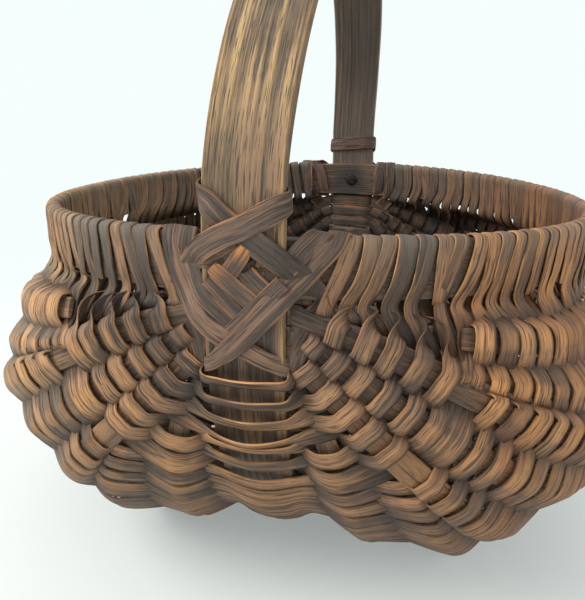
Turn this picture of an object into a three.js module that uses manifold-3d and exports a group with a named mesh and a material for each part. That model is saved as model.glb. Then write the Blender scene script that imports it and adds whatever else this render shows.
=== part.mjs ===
// Hoop-and-rib basket of split oak, of the kind called a buttocks basket.
// Two bent hoops cross at the ears: one lies flat as the rim, one stands up as the
// handle and runs on under the basket as its spine. Seven tapered ribs on each side
// leave the ears and swell out into two lobes. Flat weavers go over and under the
// ribs from rim to rim, and take one and a half turns round the rim at each end of
// a row. The ears are bound with crossed strips and held by one clenched nail each.
//
// Frame: millimetres, +Z up, the handle in the YZ plane, the lobes towards +X and -X.
// The origin is on the floor under the middle of the basket.

import * as THREE from 'three';
import { mergeVertices } from 'three/addons/utils/BufferGeometryUtils.js';
import Module from 'manifold-3d';

// Rim hoop
const RIM_RADIUS = 125;
const RIM_HEIGHT = 20;
const RIM_THICKNESS = 3.5;
const RIM_DIP = 4;
const RIM_BEVEL = 0.8;

// Handle hoop, whose lower half is the spine
const HANDLE_WIDTH = 27;
const HANDLE_THICKNESS = 4;
const HANDLE_RISE = 119;
const HANDLE_LEAN = 9;
const HANDLE_LEAN_FROM = 20;
const HANDLE_FULLNESS = 0.88;
const HANDLE_SPANS = 26;
const HANDLE_BEVEL = 1;
const SPINE_DEPTH = 150;
const SPINE_FULLNESS = 0.8;
const BOTTOM_FLATNESS = 1.35;

// Ribs, half way between the ears: how far each stands out beyond the rim, how low it
// lies, and how square its bow is. start is where the rib leaves the ear, beside and
// below its middle, and row is the first row that weaves it.
const RIB_WIDTH = 11;
const RIB_THICKNESS = 3;
const RIB_TIP_WIDTH = 3;
const RIB_TAPER_LENGTH = 56;
const RIB_TIP_THICKNESS = 1.65;
const RIB_FACE_SHARE = 0.55;
const RIB_INSET = 0.4;
const RIBS = [
  { beyondRim: 6, z: -40, start: [22, -22.5], fullness: 0.94, row: 5 },
  { beyondRim: 12, z: -64, start: [24.5, -28.5], fullness: 0.98, row: 0 },
  { beyondRim: 16, z: -92, start: [24, -31], fullness: 0.95, row: 8 },
  { beyondRim: 5, z: -120, start: [22.5, -34.5], fullness: 0.95, row: 0 },
  { beyondRim: -15, z: -144, start: [19, -42], fullness: 0.72, row: 0 },
  { beyondRim: -50, z: -163, start: [18, -46], fullness: 0.76, row: 5 },
  { beyondRim: -88, z: -160, start: [18, -50], fullness: 0.8, row: 3 },
];

// Weavers: rows of flat splint, counted from the front ear to the back ear
const WEAVER_THICKNESS = 0.9;
const FIRST_ROW_AT = 0.098;
const WEAVER_ROWS = [4, 5, 4, 5, 4, 5, 4, 4, 5, 4];
const ROW_GAP = 0.7;
const SQUEEZE_UNDER_RIM = 0.6;
const FLAT_OVER_RIB = 0.72;
const FLAT_WHERE_CLOSER_THAN = 32;
const WRAP_CROWN = 0.3;
const WRAP_SHOULDER = 0.5;
const FOLD_DROP = 0.9;

// Lashings and nails at the ears
const LASHING_WIDTH = 6.6;
const LASHING_THICKNESS = 1;
const LASHING_RADIUS = 23.6;
const NAIL_RADIUS = 1.2;
const NAIL_HEAD_RADIUS = 3.4;
const NAIL_HEAD_HEIGHT = 1;
const NAIL_CLENCH = 0.4;

// Clearances between pieces that touch
const GAP = 0.3;
const HOOP_GAP = 0.5;

// Depth of the flat that wear has left where the lobes stand
const SOLE_WEAR = 0.5;

// A point inside the bowl, level with its fullest part, from which members face away
const BOWL_MIDDLE_Z = -55;
const BOWL_MIDDLE_SHARE = 0.6;

const EAR_Z = -RIM_HEIGHT / 2;
const RIM_CENTRE_RADIUS = RIM_RADIUS - RIM_THICKNESS / 2;
const RIB_REACH = RIM_RADIUS - RIB_INSET;
const HANDLE_REACH = RIM_RADIUS + HOOP_GAP + HANDLE_THICKNESS / 2;
const ROW_COUNT = WEAVER_ROWS.reduce((sum, rows) => sum + rows, 0);
const LANE = (1 - 2 * FIRST_ROW_AT) / (ROW_COUNT - 1);

const wasm = await Module();
wasm.setup();

const v3 = (x, y, z) => new THREE.Vector3(x, y, z);
const UP = v3(0, 0, 1);

// Geometry helpers

function geometryFrom(points, triangles) {
  const geometry = new THREE.BufferGeometry();
  geometry.setAttribute('position', new THREE.Float32BufferAttribute(points, 3));
  geometry.setIndex(triangles);
  geometry.computeVertexNormals();
  return geometry;
}

// Skin over a list of rings with the same number of points. A closed strip joins its
// last ring to its first, and an open one is capped at both ends.
function skin(rings, closed) {
  const size = rings[0].length;
  const points = [];
  const triangles = [];
  rings.forEach((ring) => ring.forEach((p) => points.push(p.x, p.y, p.z)));
  const spans = closed ? rings.length : rings.length - 1;
  for (let i = 0; i < spans; i += 1) {
    const a = i * size;
    const b = ((i + 1) % rings.length) * size;
    for (let k = 0; k < size; k += 1) {
      const n = (k + 1) % size;
      triangles.push(a + k, a + n, b + n, a + k, b + n, b + k);
    }
  }
  if (!closed) {
    const last = (rings.length - 1) * size;
    for (let k = 1; k < size - 1; k += 1) {
      triangles.push(0, k + 1, k, last, last + k, last + k + 1);
    }
  }
  return outward(geometryFrom(points, triangles));
}

// Turns a closed surface the right way out if its volume comes out negative.
function outward(geometry) {
  const p = geometry.attributes.position;
  const index = geometry.index.array;
  let volume = 0;
  for (let i = 0; i < index.length; i += 3) {
    const a = v3().fromBufferAttribute(p, index[i]);
    const b = v3().fromBufferAttribute(p, index[i + 1]);
    const c = v3().fromBufferAttribute(p, index[i + 2]);
    volume += a.dot(b.cross(c));
  }
  if (volume < 0) {
    for (let i = 0; i < index.length; i += 3) {
      const keep = index[i];
      index[i] = index[i + 1];
      index[i + 1] = keep;
    }
    geometry.computeVertexNormals();
  }
  return geometry;
}

function toSolid(source) {
  const bare = source.clone();
  bare.deleteAttribute('normal');
  bare.deleteAttribute('uv');
  const merged = mergeVertices(bare, 1e-4);
  return new wasm.Manifold(new wasm.Mesh({
    numProp: 3,
    vertProperties: new Float32Array(merged.attributes.position.array),
    triVerts: new Uint32Array(merged.index.array),
  }));
}

function fromSolid(solid) {
  const mesh = solid.getMesh();
  return geometryFrom(Array.from(mesh.vertProperties), Array.from(mesh.triVerts));
}

// A flat strip of splint: each station has a centre, the direction of its width, the
// direction it faces, and its width.
function strip(stations, thickness, closed) {
  const rings = stations.map(({ at, across, facing, width }) => {
    const w = across.clone().normalize().multiplyScalar(width / 2);
    const n = facing.clone().normalize().multiplyScalar(thickness / 2);
    return [
      at.clone().sub(w).sub(n),
      at.clone().add(w).sub(n),
      at.clone().add(w).add(n),
      at.clone().sub(w).add(n),
    ];
  });
  return skin(rings, closed);
}

// Stations along every member, two rows of weaving apart, closer together at the ears.
// Members are straight from one station to the next, and each row lies on one straight.
const rowAt = (row) => FIRST_ROW_AT + row * LANE;
const STATIONS = [0, 0.03, 0.06];
for (let row = -0.5; row < ROW_COUNT; row += 2) {
  STATIONS.push(rowAt(row));
}
STATIONS.push(0.94, 0.97, 1);

// A long member that the weavers cross, measured by the share u of its whole way from
// ear to ear. lead is the distance from the middle of the ear to where it really starts.
class Member {
  constructor(point, lead) {
    this.lead = lead;
    const steps = 400;
    const fine = [];
    let length = 0;
    for (let i = 0; i <= steps; i += 1) {
      const at = point(Math.PI * (1 - Math.cos((Math.PI * i) / steps)) / 2);
      if (i > 0) {
        length += at.distanceTo(fine[i - 1].at);
      }
      fine.push({ at, length });
    }
    this.length = length;
    const onCurve = (s) => {
      const i = Math.max(fine.findIndex((f) => f.length >= s), 1);
      const share = (s - fine[i - 1].length) / (fine[i].length - fine[i - 1].length);
      return fine[i - 1].at.clone().lerp(fine[i].at, share);
    };
    const first = this.shareAt(0);
    const inner = STATIONS.filter((u) => u > first + 0.008 && u < 1 - first - 0.008);
    this.stations = [first, ...inner, 1 - first].map((u) => ({
      u,
      at: onCurve(Math.min(Math.max(this.lengthAt(u), 0), length * 0.999999)),
    }));
  }

  lengthAt(u) {
    return u * (this.length + 2 * this.lead) - this.lead;
  }

  shareAt(length) {
    return (length + this.lead) / (this.length + 2 * this.lead);
  }

  spanAt(u) {
    const last = this.stations.length - 2;
    const found = this.stations.findIndex((station) => station.u >= u) - 1;
    return found < -1 ? last : Math.min(Math.max(found, 0), last);
  }

  at(u) {
    const span = this.spanAt(u);
    const a = this.stations[span];
    const b = this.stations[span + 1];
    return a.at.clone().lerp(b.at, THREE.MathUtils.clamp((u - a.u) / (b.u - a.u), 0, 1));
  }

  along(u) {
    const nudge = LANE * 0.02;
    const before = this.spanAt(u - nudge);
    const after = this.spanAt(u + nudge);
    const flow = (i) => this.stations[i + 1].at.clone().sub(this.stations[i].at).normalize();
    return flow(before).add(flow(after)).normalize();
  }

  lanePitch() {
    return (this.length + 2 * this.lead) * LANE;
  }
}

// A bowed member: how far it has swelled out from ear to middle, at a share of its reach
function swellAt(sine, fullness) {
  return 1 - (1 - Math.max(sine, 0) ** fullness) ** BOTTOM_FLATNESS;
}

function bow(reach, startX, startZ, midX, midZ, fullness) {
  return (angle) => {
    const swell = swellAt(Math.sin(angle), fullness);
    return v3(
      startX + (midX - startX) * swell,
      -reach * Math.cos(angle),
      startZ + (midZ - startZ) * swell,
    );
  };
}

function rimMember(side) {
  return new Member((angle) => {
    const s = Math.sin(angle);
    return v3(side * RIM_CENTRE_RADIUS * s, -RIM_CENTRE_RADIUS * Math.cos(angle), EAR_Z - RIM_DIP * s * s);
  }, 0);
}

function ribMember(side, rib) {
  const [x, z] = rib.start;
  const lead = Math.hypot(x, z - EAR_Z);
  const midX = RIM_RADIUS + rib.beyondRim;
  return new Member(bow(RIB_REACH, side * x, z, side * midX, rib.z, rib.fullness), lead);
}

const spine = new Member(
  bow(HANDLE_REACH, 0, EAR_Z, 0, -SPINE_DEPTH + HANDLE_THICKNESS / 2, SPINE_FULLNESS),
  0,
);

const rim = { right: rimMember(1), left: rimMember(-1) };

// The seventeen members that a full row crosses, from the right rim to the left rim
const members = [
  { kind: 'rim', member: rim.right, side: 1 },
  ...RIBS.map((rib) => ({ kind: 'rib', rib, member: ribMember(1, rib), side: 1 })),
  { kind: 'spine', member: spine, side: 0 },
  ...[...RIBS].reverse().map((rib) => ({ kind: 'rib', rib, member: ribMember(-1, rib), side: -1 })),
  { kind: 'rim', member: rim.left, side: -1 },
];

// Centre, length direction, outward face and row direction of a member at u
function frameAt(index, u) {
  const { kind, member } = members[index];
  const at = member.at(u);
  const along = member.along(u);
  let facing;
  if (kind === 'rim') {
    facing = v3(along.y, -along.x, 0).normalize();
  } else if (kind === 'spine') {
    facing = v3(0, along.z, -along.y).normalize();
  } else {
    const before = members[index - 1].member.at(u);
    const after = members[index + 1].member.at(u);
    facing = after.sub(before).cross(along).normalize();
  }
  if (facing.dot(at.clone().sub(v3(0, at.y * BOWL_MIDDLE_SHARE, BOWL_MIDDLE_Z))) < 0) {
    facing.negate();
  }
  const rowwards = along.clone().cross(facing).normalize();
  return { at, along, facing, rowwards };
}

function isWoven(index, row) {
  const { kind, rib } = members[index];
  if (kind !== 'rib') {
    return true;
  }
  return row >= rib.row && row < ROW_COUNT - rib.row;
}

// True where the members on either side come so close that a row needs a flat under it
function isCrowded(index, before, after, u) {
  const here = members[index].member.at(u);
  const room = (other) => here.distanceTo(members[other].member.at(u));
  return Math.min(room(before), room(after)) < FLAT_WHERE_CLOSER_THAN;
}

// Stations of one row from the right rim to the left rim, without the rims
function rowStations(row) {
  const u = rowAt(row);
  const crossed = members.map((m, i) => i).filter((i) => isWoven(i, row));
  const stations = [];
  crossed.forEach((index, order) => {
    const { kind, member } = members[index];
    if (kind === 'rim') {
      return;
    }
    const over = (row + order) % 2 === 0 ? 1 : -1;
    const { at, along, facing } = frameAt(index, u);
    const half = kind === 'spine' ? HANDLE_THICKNESS / 2 : RIB_THICKNESS / 2;
    const lift = over * (half + GAP + WEAVER_THICKNESS / 2);
    const width = member.lanePitch() - ROW_GAP;
    const centre = at.addScaledVector(facing, lift);
    let reach = 0;
    if (kind === 'spine') {
      reach = HANDLE_WIDTH / 2 + 2 * GAP;
    } else if (over > 0 || isCrowded(index, crossed[order - 1], crossed[order + 1], u)) {
      reach = (RIB_WIDTH * FLAT_OVER_RIB) / 2;
    }
    const steps = reach > 0 ? [-reach, reach] : [0];
    const turn = turnTowards(index, u);
    steps.forEach((step) => {
      stations.push({
        at: centre.clone().addScaledVector(turn, step),
        across: along,
        facing,
        width,
      });
    });
  });
  return stations;
}

// Unit direction of a row where it crosses a member, from the right rim to the left
function turnTowards(index, u) {
  const { rowwards } = frameAt(index, u);
  const before = members[Math.max(index - 1, 0)].member.at(u);
  const after = members[Math.min(index + 1, members.length - 1)].member.at(u);
  return rowwards.dot(after.sub(before)) < 0 ? rowwards.negate() : rowwards;
}

// One station on the rim: face 1 is outside and -1 inside, height is from mid band
function rimStation(index, lane, face, height, facing) {
  const { member } = members[index];
  const frame = frameAt(index, rowAt(lane));
  const lift = face * (RIM_THICKNESS / 2 + GAP + WEAVER_THICKNESS / 2);
  const at = frame.at.clone().addScaledVector(frame.facing, lift).addScaledVector(UP, height);
  const directions = {
    out: frame.facing,
    in: frame.facing.clone().negate(),
    top: UP,
    bottom: UP.clone().negate(),
  };
  return {
    at,
    across: frame.along,
    facing: directions[facing],
    width: member.lanePitch() - ROW_GAP,
  };
}

const WRAP_HALF_HEIGHT = RIM_HEIGHT / 2 + GAP + WEAVER_THICKNESS / 2;

// Up one face of the rim at one lane, over the top, and down the other at the next
function rimPass(index, upLane, downLane, upFace, fromRow, toRow) {
  const up = upFace > 0 ? 'out' : 'in';
  const down = upFace > 0 ? 'in' : 'out';
  const low = -WRAP_HALF_HEIGHT;
  const high = WRAP_HALF_HEIGHT;
  return [
    rimStation(index, upLane, upFace, fromRow ? low - FOLD_DROP : low + WRAP_SHOULDER, up),
    rimStation(index, upLane, upFace, high - WRAP_SHOULDER, up),
    rimStation(index, (upLane + downLane) / 2, 0, high + WRAP_CROWN, 'top'),
    rimStation(index, downLane, -upFace, high - WRAP_SHOULDER, down),
    rimStation(index, downLane, -upFace, toRow ? low - FOLD_DROP : low + WRAP_SHOULDER, down),
  ];
}

// Turn from one row to the next: two passes over the rim joined below it
function turnFirst(index, row, upFace) {
  return rimPass(index, row - 0.25, row + 0.25, upFace, true, false);
}

function turnSecond(index, row, upFace) {
  return rimPass(index, row + 0.75, row + 1.25, upFace, false, true);
}

function turnKeel(index, row) {
  return rimStation(index, row + 0.5, 0, -WRAP_HALF_HEIGHT - WRAP_CROWN, 'bottom');
}

// The splint narrows as it folds between the rim and the first rib.
function squeezed(rimEnd, ribEnd) {
  const at = rimEnd.at.clone().lerp(ribEnd.at, 0.5);
  const across = rimEnd.across.clone().multiplyScalar(Math.sign(rimEnd.across.dot(ribEnd.across)) || 1);
  const width = Math.min(rimEnd.width, ribEnd.width) * SQUEEZE_UNDER_RIM;
  const facing = rimEnd.facing.clone().multiplyScalar(Math.sign(rimEnd.facing.dot(ribEnd.facing)) || 1);
  return {
    at,
    across: across.add(ribEnd.across),
    facing: facing.add(ribEnd.facing),
    width,
  };
}

// Faces and widths of neighbouring stations are turned the same way round, so that
// the strip rolls over the rim without twisting on itself.
function untwist(stations) {
  for (let i = 1; i < stations.length; i += 1) {
    const before = stations[i - 1];
    const here = stations[i];
    if (here.across.dot(before.across) < 0) {
      here.across = here.across.clone().negate();
    }
    const travel = here.at.clone().sub(before.at);
    const wanted = here.across.clone().cross(travel);
    const was = before.across.clone().cross(travel);
    if (Math.sign(wanted.dot(here.facing)) !== Math.sign(was.dot(before.facing))) {
      here.facing = here.facing.clone().negate();
    }
  }
  return stations;
}

function weaver(firstRow, lastRow) {
  const stations = [];
  for (let row = firstRow; row <= lastRow; row += 1) {
    const leftwards = row % 2 === 0;
    const startRim = leftwards ? 0 : members.length - 1;
    const endRim = leftwards ? members.length - 1 : 0;
    const outside = row % 2 === 0 ? 1 : -1;
    const body = rowStations(row);
    if (!leftwards) {
      body.reverse();
    }
    if (row === firstRow) {
      stations.push(...turnSecond(startRim, row - 1, -outside));
    }
    stations.push(squeezed(stations[stations.length - 1], body[0]));
    stations.push(...body);
    const first = turnFirst(endRim, row, outside);
    stations.push(squeezed(first[0], body[body.length - 1]));
    stations.push(...first);
    if (row < lastRow) {
      stations.push(turnKeel(endRim, row));
      stations.push(...turnSecond(endRim, row, outside));
    }
  }
  return strip(untwist(stations), WEAVER_THICKNESS, false);
}

// Rib: a lens section that tapers to both tips
function ribGeometry(index) {
  const { member, rib } = members[index];
  const tip = rib.row > 0 ? rowAt(rib.row - 0.44) : member.stations[0].u;
  const inner = member.stations.map(({ u }) => u).filter((u) => u > tip + 0.006 && u < 0.994 - tip);
  const rings = [tip, ...inner, 1 - tip].map((u) => {
    const { at, facing, rowwards } = frameAt(index, u);
    const fromTip = (Math.min(u, 1 - u) - tip) * (member.length + 2 * member.lead);
    const grown = Math.sqrt(THREE.MathUtils.clamp(fromTip / RIB_TAPER_LENGTH, 0, 1));
    const width = RIB_TIP_WIDTH + (RIB_WIDTH - RIB_TIP_WIDTH) * grown;
    const thick = RIB_TIP_THICKNESS + (RIB_THICKNESS - RIB_TIP_THICKNESS) * grown;
    const corner = (across, out) => at.clone()
      .addScaledVector(rowwards, (across * width) / 2)
      .addScaledVector(facing, (out * thick) / 2);
    return [
      corner(-1, 0),
      corner(-RIB_FACE_SHARE, -1),
      corner(RIB_FACE_SHARE, -1),
      corner(1, 0),
      corner(RIB_FACE_SHARE, 1),
      corner(-RIB_FACE_SHARE, 1),
    ];
  });
  return skin(rings, false);
}

// Rounded corners of a hoop's section, across its width and through its thickness
function hoopSection(width, thickness, bevel) {
  const w = width / 2;
  const t = thickness / 2;
  return [
    [-w, -t + bevel], [-w + bevel, -t], [w - bevel, -t], [w, -t + bevel],
    [w, t - bevel], [w - bevel, t], [-w + bevel, t], [-w, t - bevel],
  ];
}

function rimHoop() {
  const right = rim.right.stations;
  const left = [...rim.left.stations].reverse();
  const centres = [...right, ...left.slice(1, -1)].map(({ at }) => at);
  const rings = centres.map((centre, i) => {
    const before = centres[(i + centres.length - 1) % centres.length];
    const after = centres[(i + 1) % centres.length];
    const out = v3(after.y - before.y, before.x - after.x, 0).normalize();
    return hoopSection(RIM_HEIGHT, RIM_THICKNESS, RIM_BEVEL).map(([up, through]) => (
      centre.clone().addScaledVector(UP, up).addScaledVector(out, through)
    ));
  });
  return skin(rings, true);
}

// Centre line of the handle above the ears, from the back ear at 0 to the front ear
function handlePoint(angle) {
  const s = Math.sin(angle);
  const rise = HANDLE_RISE - EAR_Z - HANDLE_THICKNESS / 2;
  const z = EAR_Z + rise * Math.max(s, 0) ** HANDLE_FULLNESS;
  const share = (z - HANDLE_LEAN_FROM) / (HANDLE_RISE - HANDLE_LEAN_FROM);
  const lean = HANDLE_LEAN * Math.max(share, 0) ** 1.2;
  return v3(lean, HANDLE_REACH * Math.cos(angle), z);
}

function handleHoop() {
  const centres = spine.stations.map(({ at }) => at);
  for (let i = 1; i < HANDLE_SPANS; i += 1) {
    const even = (Math.PI * i) / HANDLE_SPANS;
    centres.push(handlePoint(even - 0.18 * Math.sin(2 * even)));
  }
  const rings = centres.map((centre, i) => {
    const before = centres[(i + centres.length - 1) % centres.length];
    const after = centres[(i + 1) % centres.length];
    const flow = after.clone().sub(centre).normalize().add(centre.clone().sub(before).normalize());
    const out = v3(0, -flow.z, flow.y).normalize();
    return hoopSection(HANDLE_WIDTH, HANDLE_THICKNESS, HANDLE_BEVEL).map(([across, through]) => (
      centre.clone().add(v3(across, 0, 0)).addScaledVector(out, through)
    ));
  });
  return skin(rings, true);
}

// Clenched nail through both hoops at an ear: head inside the basket
function nail(end, clearance) {
  const inside = RIM_RADIUS - RIM_THICKNESS - GAP;
  const tip = RIM_RADIUS + HOOP_GAP + HANDLE_THICKNESS + NAIL_CLENCH;
  const shank = NAIL_RADIUS + clearance;
  const points = clearance > 0
    ? [[0, inside - 5], [shank, inside - 5], [shank, tip + 5], [0, tip + 5]]
    : [
      [0, inside - NAIL_HEAD_HEIGHT], [NAIL_HEAD_RADIUS * 0.6, inside - NAIL_HEAD_HEIGHT * 0.9],
      [NAIL_HEAD_RADIUS, inside - NAIL_HEAD_HEIGHT * 0.3], [NAIL_HEAD_RADIUS, inside],
      [shank, inside], [shank, tip], [0, tip + 0.3],
    ];
  const geometry = new THREE.LatheGeometry(points.map(([r, y]) => new THREE.Vector2(r, y)), 10);
  if (end < 0) {
    geometry.rotateZ(Math.PI);
  }
  geometry.translate(0, 0, EAR_Z);
  return outward(mergedOnly(geometry));
}

function mergedOnly(geometry) {
  geometry.deleteAttribute('normal');
  geometry.deleteAttribute('uv');
  const merged = mergeVertices(geometry, 1e-4);
  merged.computeVertexNormals();
  return merged;
}

function drilled(geometry) {
  const cut = toSolid(geometry).subtract(toSolid(nail(1, GAP))).subtract(toSolid(nail(-1, GAP)));
  return fromSolid(cut);
}

// How far the handle and the spine stand out from the middle at a distance from the ear
const handleReach = (by) => {
  const rise = HANDLE_RISE - EAR_Z - HANDLE_THICKNESS / 2;
  return HANDLE_REACH * Math.sqrt(1 - (by / rise) ** (2 / HANDLE_FULLNESS));
};
const spineReach = (by) => {
  const drop = SPINE_DEPTH + EAR_Z - HANDLE_THICKNESS / 2;
  const sine = (1 - (1 - by / drop) ** (1 / BOTTOM_FLATNESS)) ** (1 / SPINE_FULLNESS);
  return HANDLE_REACH * Math.sqrt(1 - sine ** 2);
};

// Ear lashing: one closed strip that goes round the four arms of the cross in turn.
// On each arm it crosses the outside outwards, comes back behind the arm, and crosses
// the outside again over itself, inwards, before it runs on to the next arm.
function earLashing(end) {
  const level = LASHING_THICKNESS / 2 + GAP;
  const step = LASHING_THICKNESS + GAP;
  const near = LASHING_RADIUS - LASHING_WIDTH / 2 - 0.2;
  const far = LASHING_RADIUS + LASHING_WIDTH / 2 + 0.2;
  const rimReach = (x) => Math.sqrt(RIM_CENTRE_RADIUS ** 2 - x ** 2);
  const arms = [
    { out: v3(0, 0, 1), half: HANDLE_WIDTH / 2, thick: HANDLE_THICKNESS, reach: handleReach },
    { out: v3(1, 0, 0), half: RIM_HEIGHT / 2, thick: RIM_THICKNESS, reach: rimReach },
    { out: v3(0, 0, -1), half: HANDLE_WIDTH / 2, thick: HANDLE_THICKNESS, reach: spineReach },
    { out: v3(-1, 0, 0), half: RIM_HEIGHT / 2, thick: RIM_THICKNESS, reach: rimReach },
  ];
  const stations = [];
  arms.forEach(({ out, half, thick, reach }, k) => {
    const turn = arms[(k + 1) % 4].out;
    const put = (outBy, side, depth, facing, across) => {
      const at = out.clone().multiplyScalar(outBy).addScaledVector(turn, side);
      stations.push({
        at: v3(at.x, end * depth, at.z + EAR_Z),
        across: across.clone().add(slope),
        facing: v3(facing.x, facing.y * end, facing.z),
        width: LASHING_WIDTH,
      });
    };
    const edge = half + level;
    const face = (by) => reach(by) + thick / 2 + 0.1;
    const back = (by) => reach(by) - thick / 2 - 0.25;
    const slope = v3(0, end * (reach(far) - reach(near)) / (far - near), 0);
    const outFace = v3(0, 1, 0);
    const inFace = v3(0, -1, 0);
    const leaning = out.clone().addScaledVector(turn, 0.5);
    const falling = out.clone().addScaledVector(turn, -0.5);
    put(near, -edge, face(near) + level, outFace, falling);
    put(far, edge, face(far) + level, outFace.clone().add(turn), out);
    put(far, edge, back(far) - level, inFace.clone().add(turn), out);
    put(far, -edge, back(far) - level, inFace.clone().sub(turn), out);
    put(far, -edge, face(far) + level + step, outFace.clone().sub(turn), out);
    put(near, edge, face(near) + level + step, outFace, leaning);
  });
  return strip(stations, LASHING_THICKNESS, true);
}

// Lowest point of everything that is woven, which is where the basket stands
function lowestPoint(geometries) {
  let low = Infinity;
  geometries.forEach((geometry) => {
    geometry.computeBoundingBox();
    low = Math.min(low, geometry.boundingBox.min.z);
  });
  return low;
}

function wornFlat(geometry, level) {
  geometry.computeBoundingBox();
  if (geometry.boundingBox.min.z >= level) {
    return geometry;
  }
  const block = new THREE.BoxGeometry(600, 600, 20);
  block.translate(0, 0, level - 10);
  return fromSolid(toSolid(geometry).subtract(toSolid(block)));
}

// Materials
const oak = (colour, roughness) => new THREE.MeshStandardMaterial({
  color: colour,
  roughness,
  metalness: 0,
});
const handleOak = () => oak(0x9a7448, 0.62);
const rimOak = () => oak(0x5b4634, 0.7);
const ribOak = () => oak(0x8c6236, 0.66);
const lashingOak = () => oak(0x5a4638, 0.72);
const WEAVER_COLOURS = [0x6b4f36, 0x7a5a3c, 0x604631, 0x735234];
const iron = () => new THREE.MeshStandardMaterial({ color: 0x2f2a27, roughness: 0.6, metalness: 0.8 });

// Assembly
const basket = new THREE.Group();
basket.name = 'buttocks_basket';
const pieces = [];

function addPiece(name, geometry, material) {
  pieces.push({ name, geometry, material });
}

addPiece('handle_hoop', drilled(handleHoop()), handleOak());
addPiece('rim_hoop', drilled(rimHoop()), rimOak());

members.forEach(({ kind, rib, side }, index) => {
  if (kind === 'rib') {
    const number = RIBS.indexOf(rib) + 1;
    addPiece(`rib_${side > 0 ? 'right' : 'left'}_${number}`, ribGeometry(index), ribOak());
  }
});

let firstRow = 0;
WEAVER_ROWS.forEach((rows, i) => {
  const name = `weaver_${String(i + 1).padStart(2, '0')}`;
  const geometry = weaver(firstRow, firstRow + rows - 1);
  addPiece(name, geometry, oak(WEAVER_COLOURS[i % WEAVER_COLOURS.length], 0.74));
  firstRow += rows;
});

[['front', -1], ['back', 1]].forEach(([place, end]) => {
  addPiece(`${place}_ear_lashing`, earLashing(end), lashingOak());
  addPiece(`${place}_ear_nail`, nail(end, 0), iron());
});

const soleLevel = lowestPoint(pieces.map((piece) => piece.geometry)) + SOLE_WEAR;
pieces.forEach(({ name, geometry, material }) => {
  const worn = wornFlat(geometry, soleLevel);
  worn.translate(0, 0, -soleLevel);
  const mesh = new THREE.Mesh(worn, material);
  mesh.name = name;
  basket.add(mesh);
});

export default basket;
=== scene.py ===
"""Hoop-and-rib basket of split oak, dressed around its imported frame.

Shapes are worked out in millimetres, with heights counted from the rim's top edge, as
a basket maker measures. They become metres above the floor when they enter a mesh.
The front ear lies towards -Y, the handle in the YZ plane and the lobes towards +X and
-X, as in the frame.
"""
import logging
import math
from dataclasses import dataclass, field
from enum import Enum
from typing import Sequence

import bpy
import numpy as np
from mathutils import Matrix, Vector


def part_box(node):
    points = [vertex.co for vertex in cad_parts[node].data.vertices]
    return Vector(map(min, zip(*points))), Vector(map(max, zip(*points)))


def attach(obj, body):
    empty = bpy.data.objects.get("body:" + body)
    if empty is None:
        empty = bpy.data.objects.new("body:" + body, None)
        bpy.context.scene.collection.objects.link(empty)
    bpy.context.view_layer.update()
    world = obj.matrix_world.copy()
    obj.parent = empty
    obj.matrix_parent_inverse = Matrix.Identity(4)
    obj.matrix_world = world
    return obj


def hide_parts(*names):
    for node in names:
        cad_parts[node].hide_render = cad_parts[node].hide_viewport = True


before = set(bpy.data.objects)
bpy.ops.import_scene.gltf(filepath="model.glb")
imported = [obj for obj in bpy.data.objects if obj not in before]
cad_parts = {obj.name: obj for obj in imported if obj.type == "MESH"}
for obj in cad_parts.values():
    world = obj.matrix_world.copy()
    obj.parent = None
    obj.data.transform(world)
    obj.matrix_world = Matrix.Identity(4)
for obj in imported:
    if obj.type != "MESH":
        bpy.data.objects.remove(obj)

LOG = logging.getLogger("basket")
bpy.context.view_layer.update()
BODY = "root"
MM = 0.001
RIM_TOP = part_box("rim_hoop")[1].z
UP = np.array([0.0, 0.0, 1.0])

Socket = bpy.types.NodeSocket
Value = Socket | float | tuple
Inputs = dict[str | int, Value]
Colour = tuple[int, int, int]


# Small numpy helpers

def unit(vectors: np.ndarray) -> np.ndarray:
    """Vectors divided by their own length, along the last axis."""
    return vectors / np.maximum(np.linalg.norm(vectors, axis=-1, keepdims=True), 1e-9)


def dots(a: np.ndarray, b: np.ndarray) -> np.ndarray:
    """Dot products along the last axis."""
    return np.einsum("...j,...j->...", a, b)


def square_to(flow: np.ndarray, vectors: np.ndarray) -> np.ndarray:
    """Unit vectors across a flow: what is left when the part along it is taken away."""
    return unit(vectors - flow * dots(vectors, flow)[..., None])


def eased(count: int) -> np.ndarray:
    """Shares from 0 to 1, (1 - cos a) / 2 for even angles a, so closer at both ends."""
    return (1.0 - np.cos(np.linspace(0.0, math.pi, count))) / 2.0


def full_turn(count: int) -> np.ndarray:
    """Even angles round a circle, the first not repeated."""
    return np.linspace(0.0, 2.0 * math.pi, count, endpoint=False)


def smoothstep(low: float, high: float, value: np.ndarray) -> np.ndarray:
    """0 below low, 1 above high, and 3t^2 - 2t^3 between them."""
    t = np.clip((value - low) / (high - low), 0.0, 1.0)
    return t * t * (3.0 - 2.0 * t)


def waver(rng: np.random.Generator, along: np.ndarray, pitch: float) -> np.ndarray:
    """Slow drift along a piece: a sum of four sines of random phase, about -1 to 1.

    Args:
        rng: Source of the phases.
        along: Distance along the piece.
        pitch: Length of the longest wave.

    Returns:
        The drift at each distance.
    """
    harmonics = np.array([1.0, 1.7, 2.9, 4.3])
    phases = rng.uniform(0.0, 2.0 * math.pi, 4)
    waves = np.sin(2.0 * math.pi * np.outer(along / pitch, harmonics) + phases)
    return waves @ np.array([0.45, 0.3, 0.2, 0.12])


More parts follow.
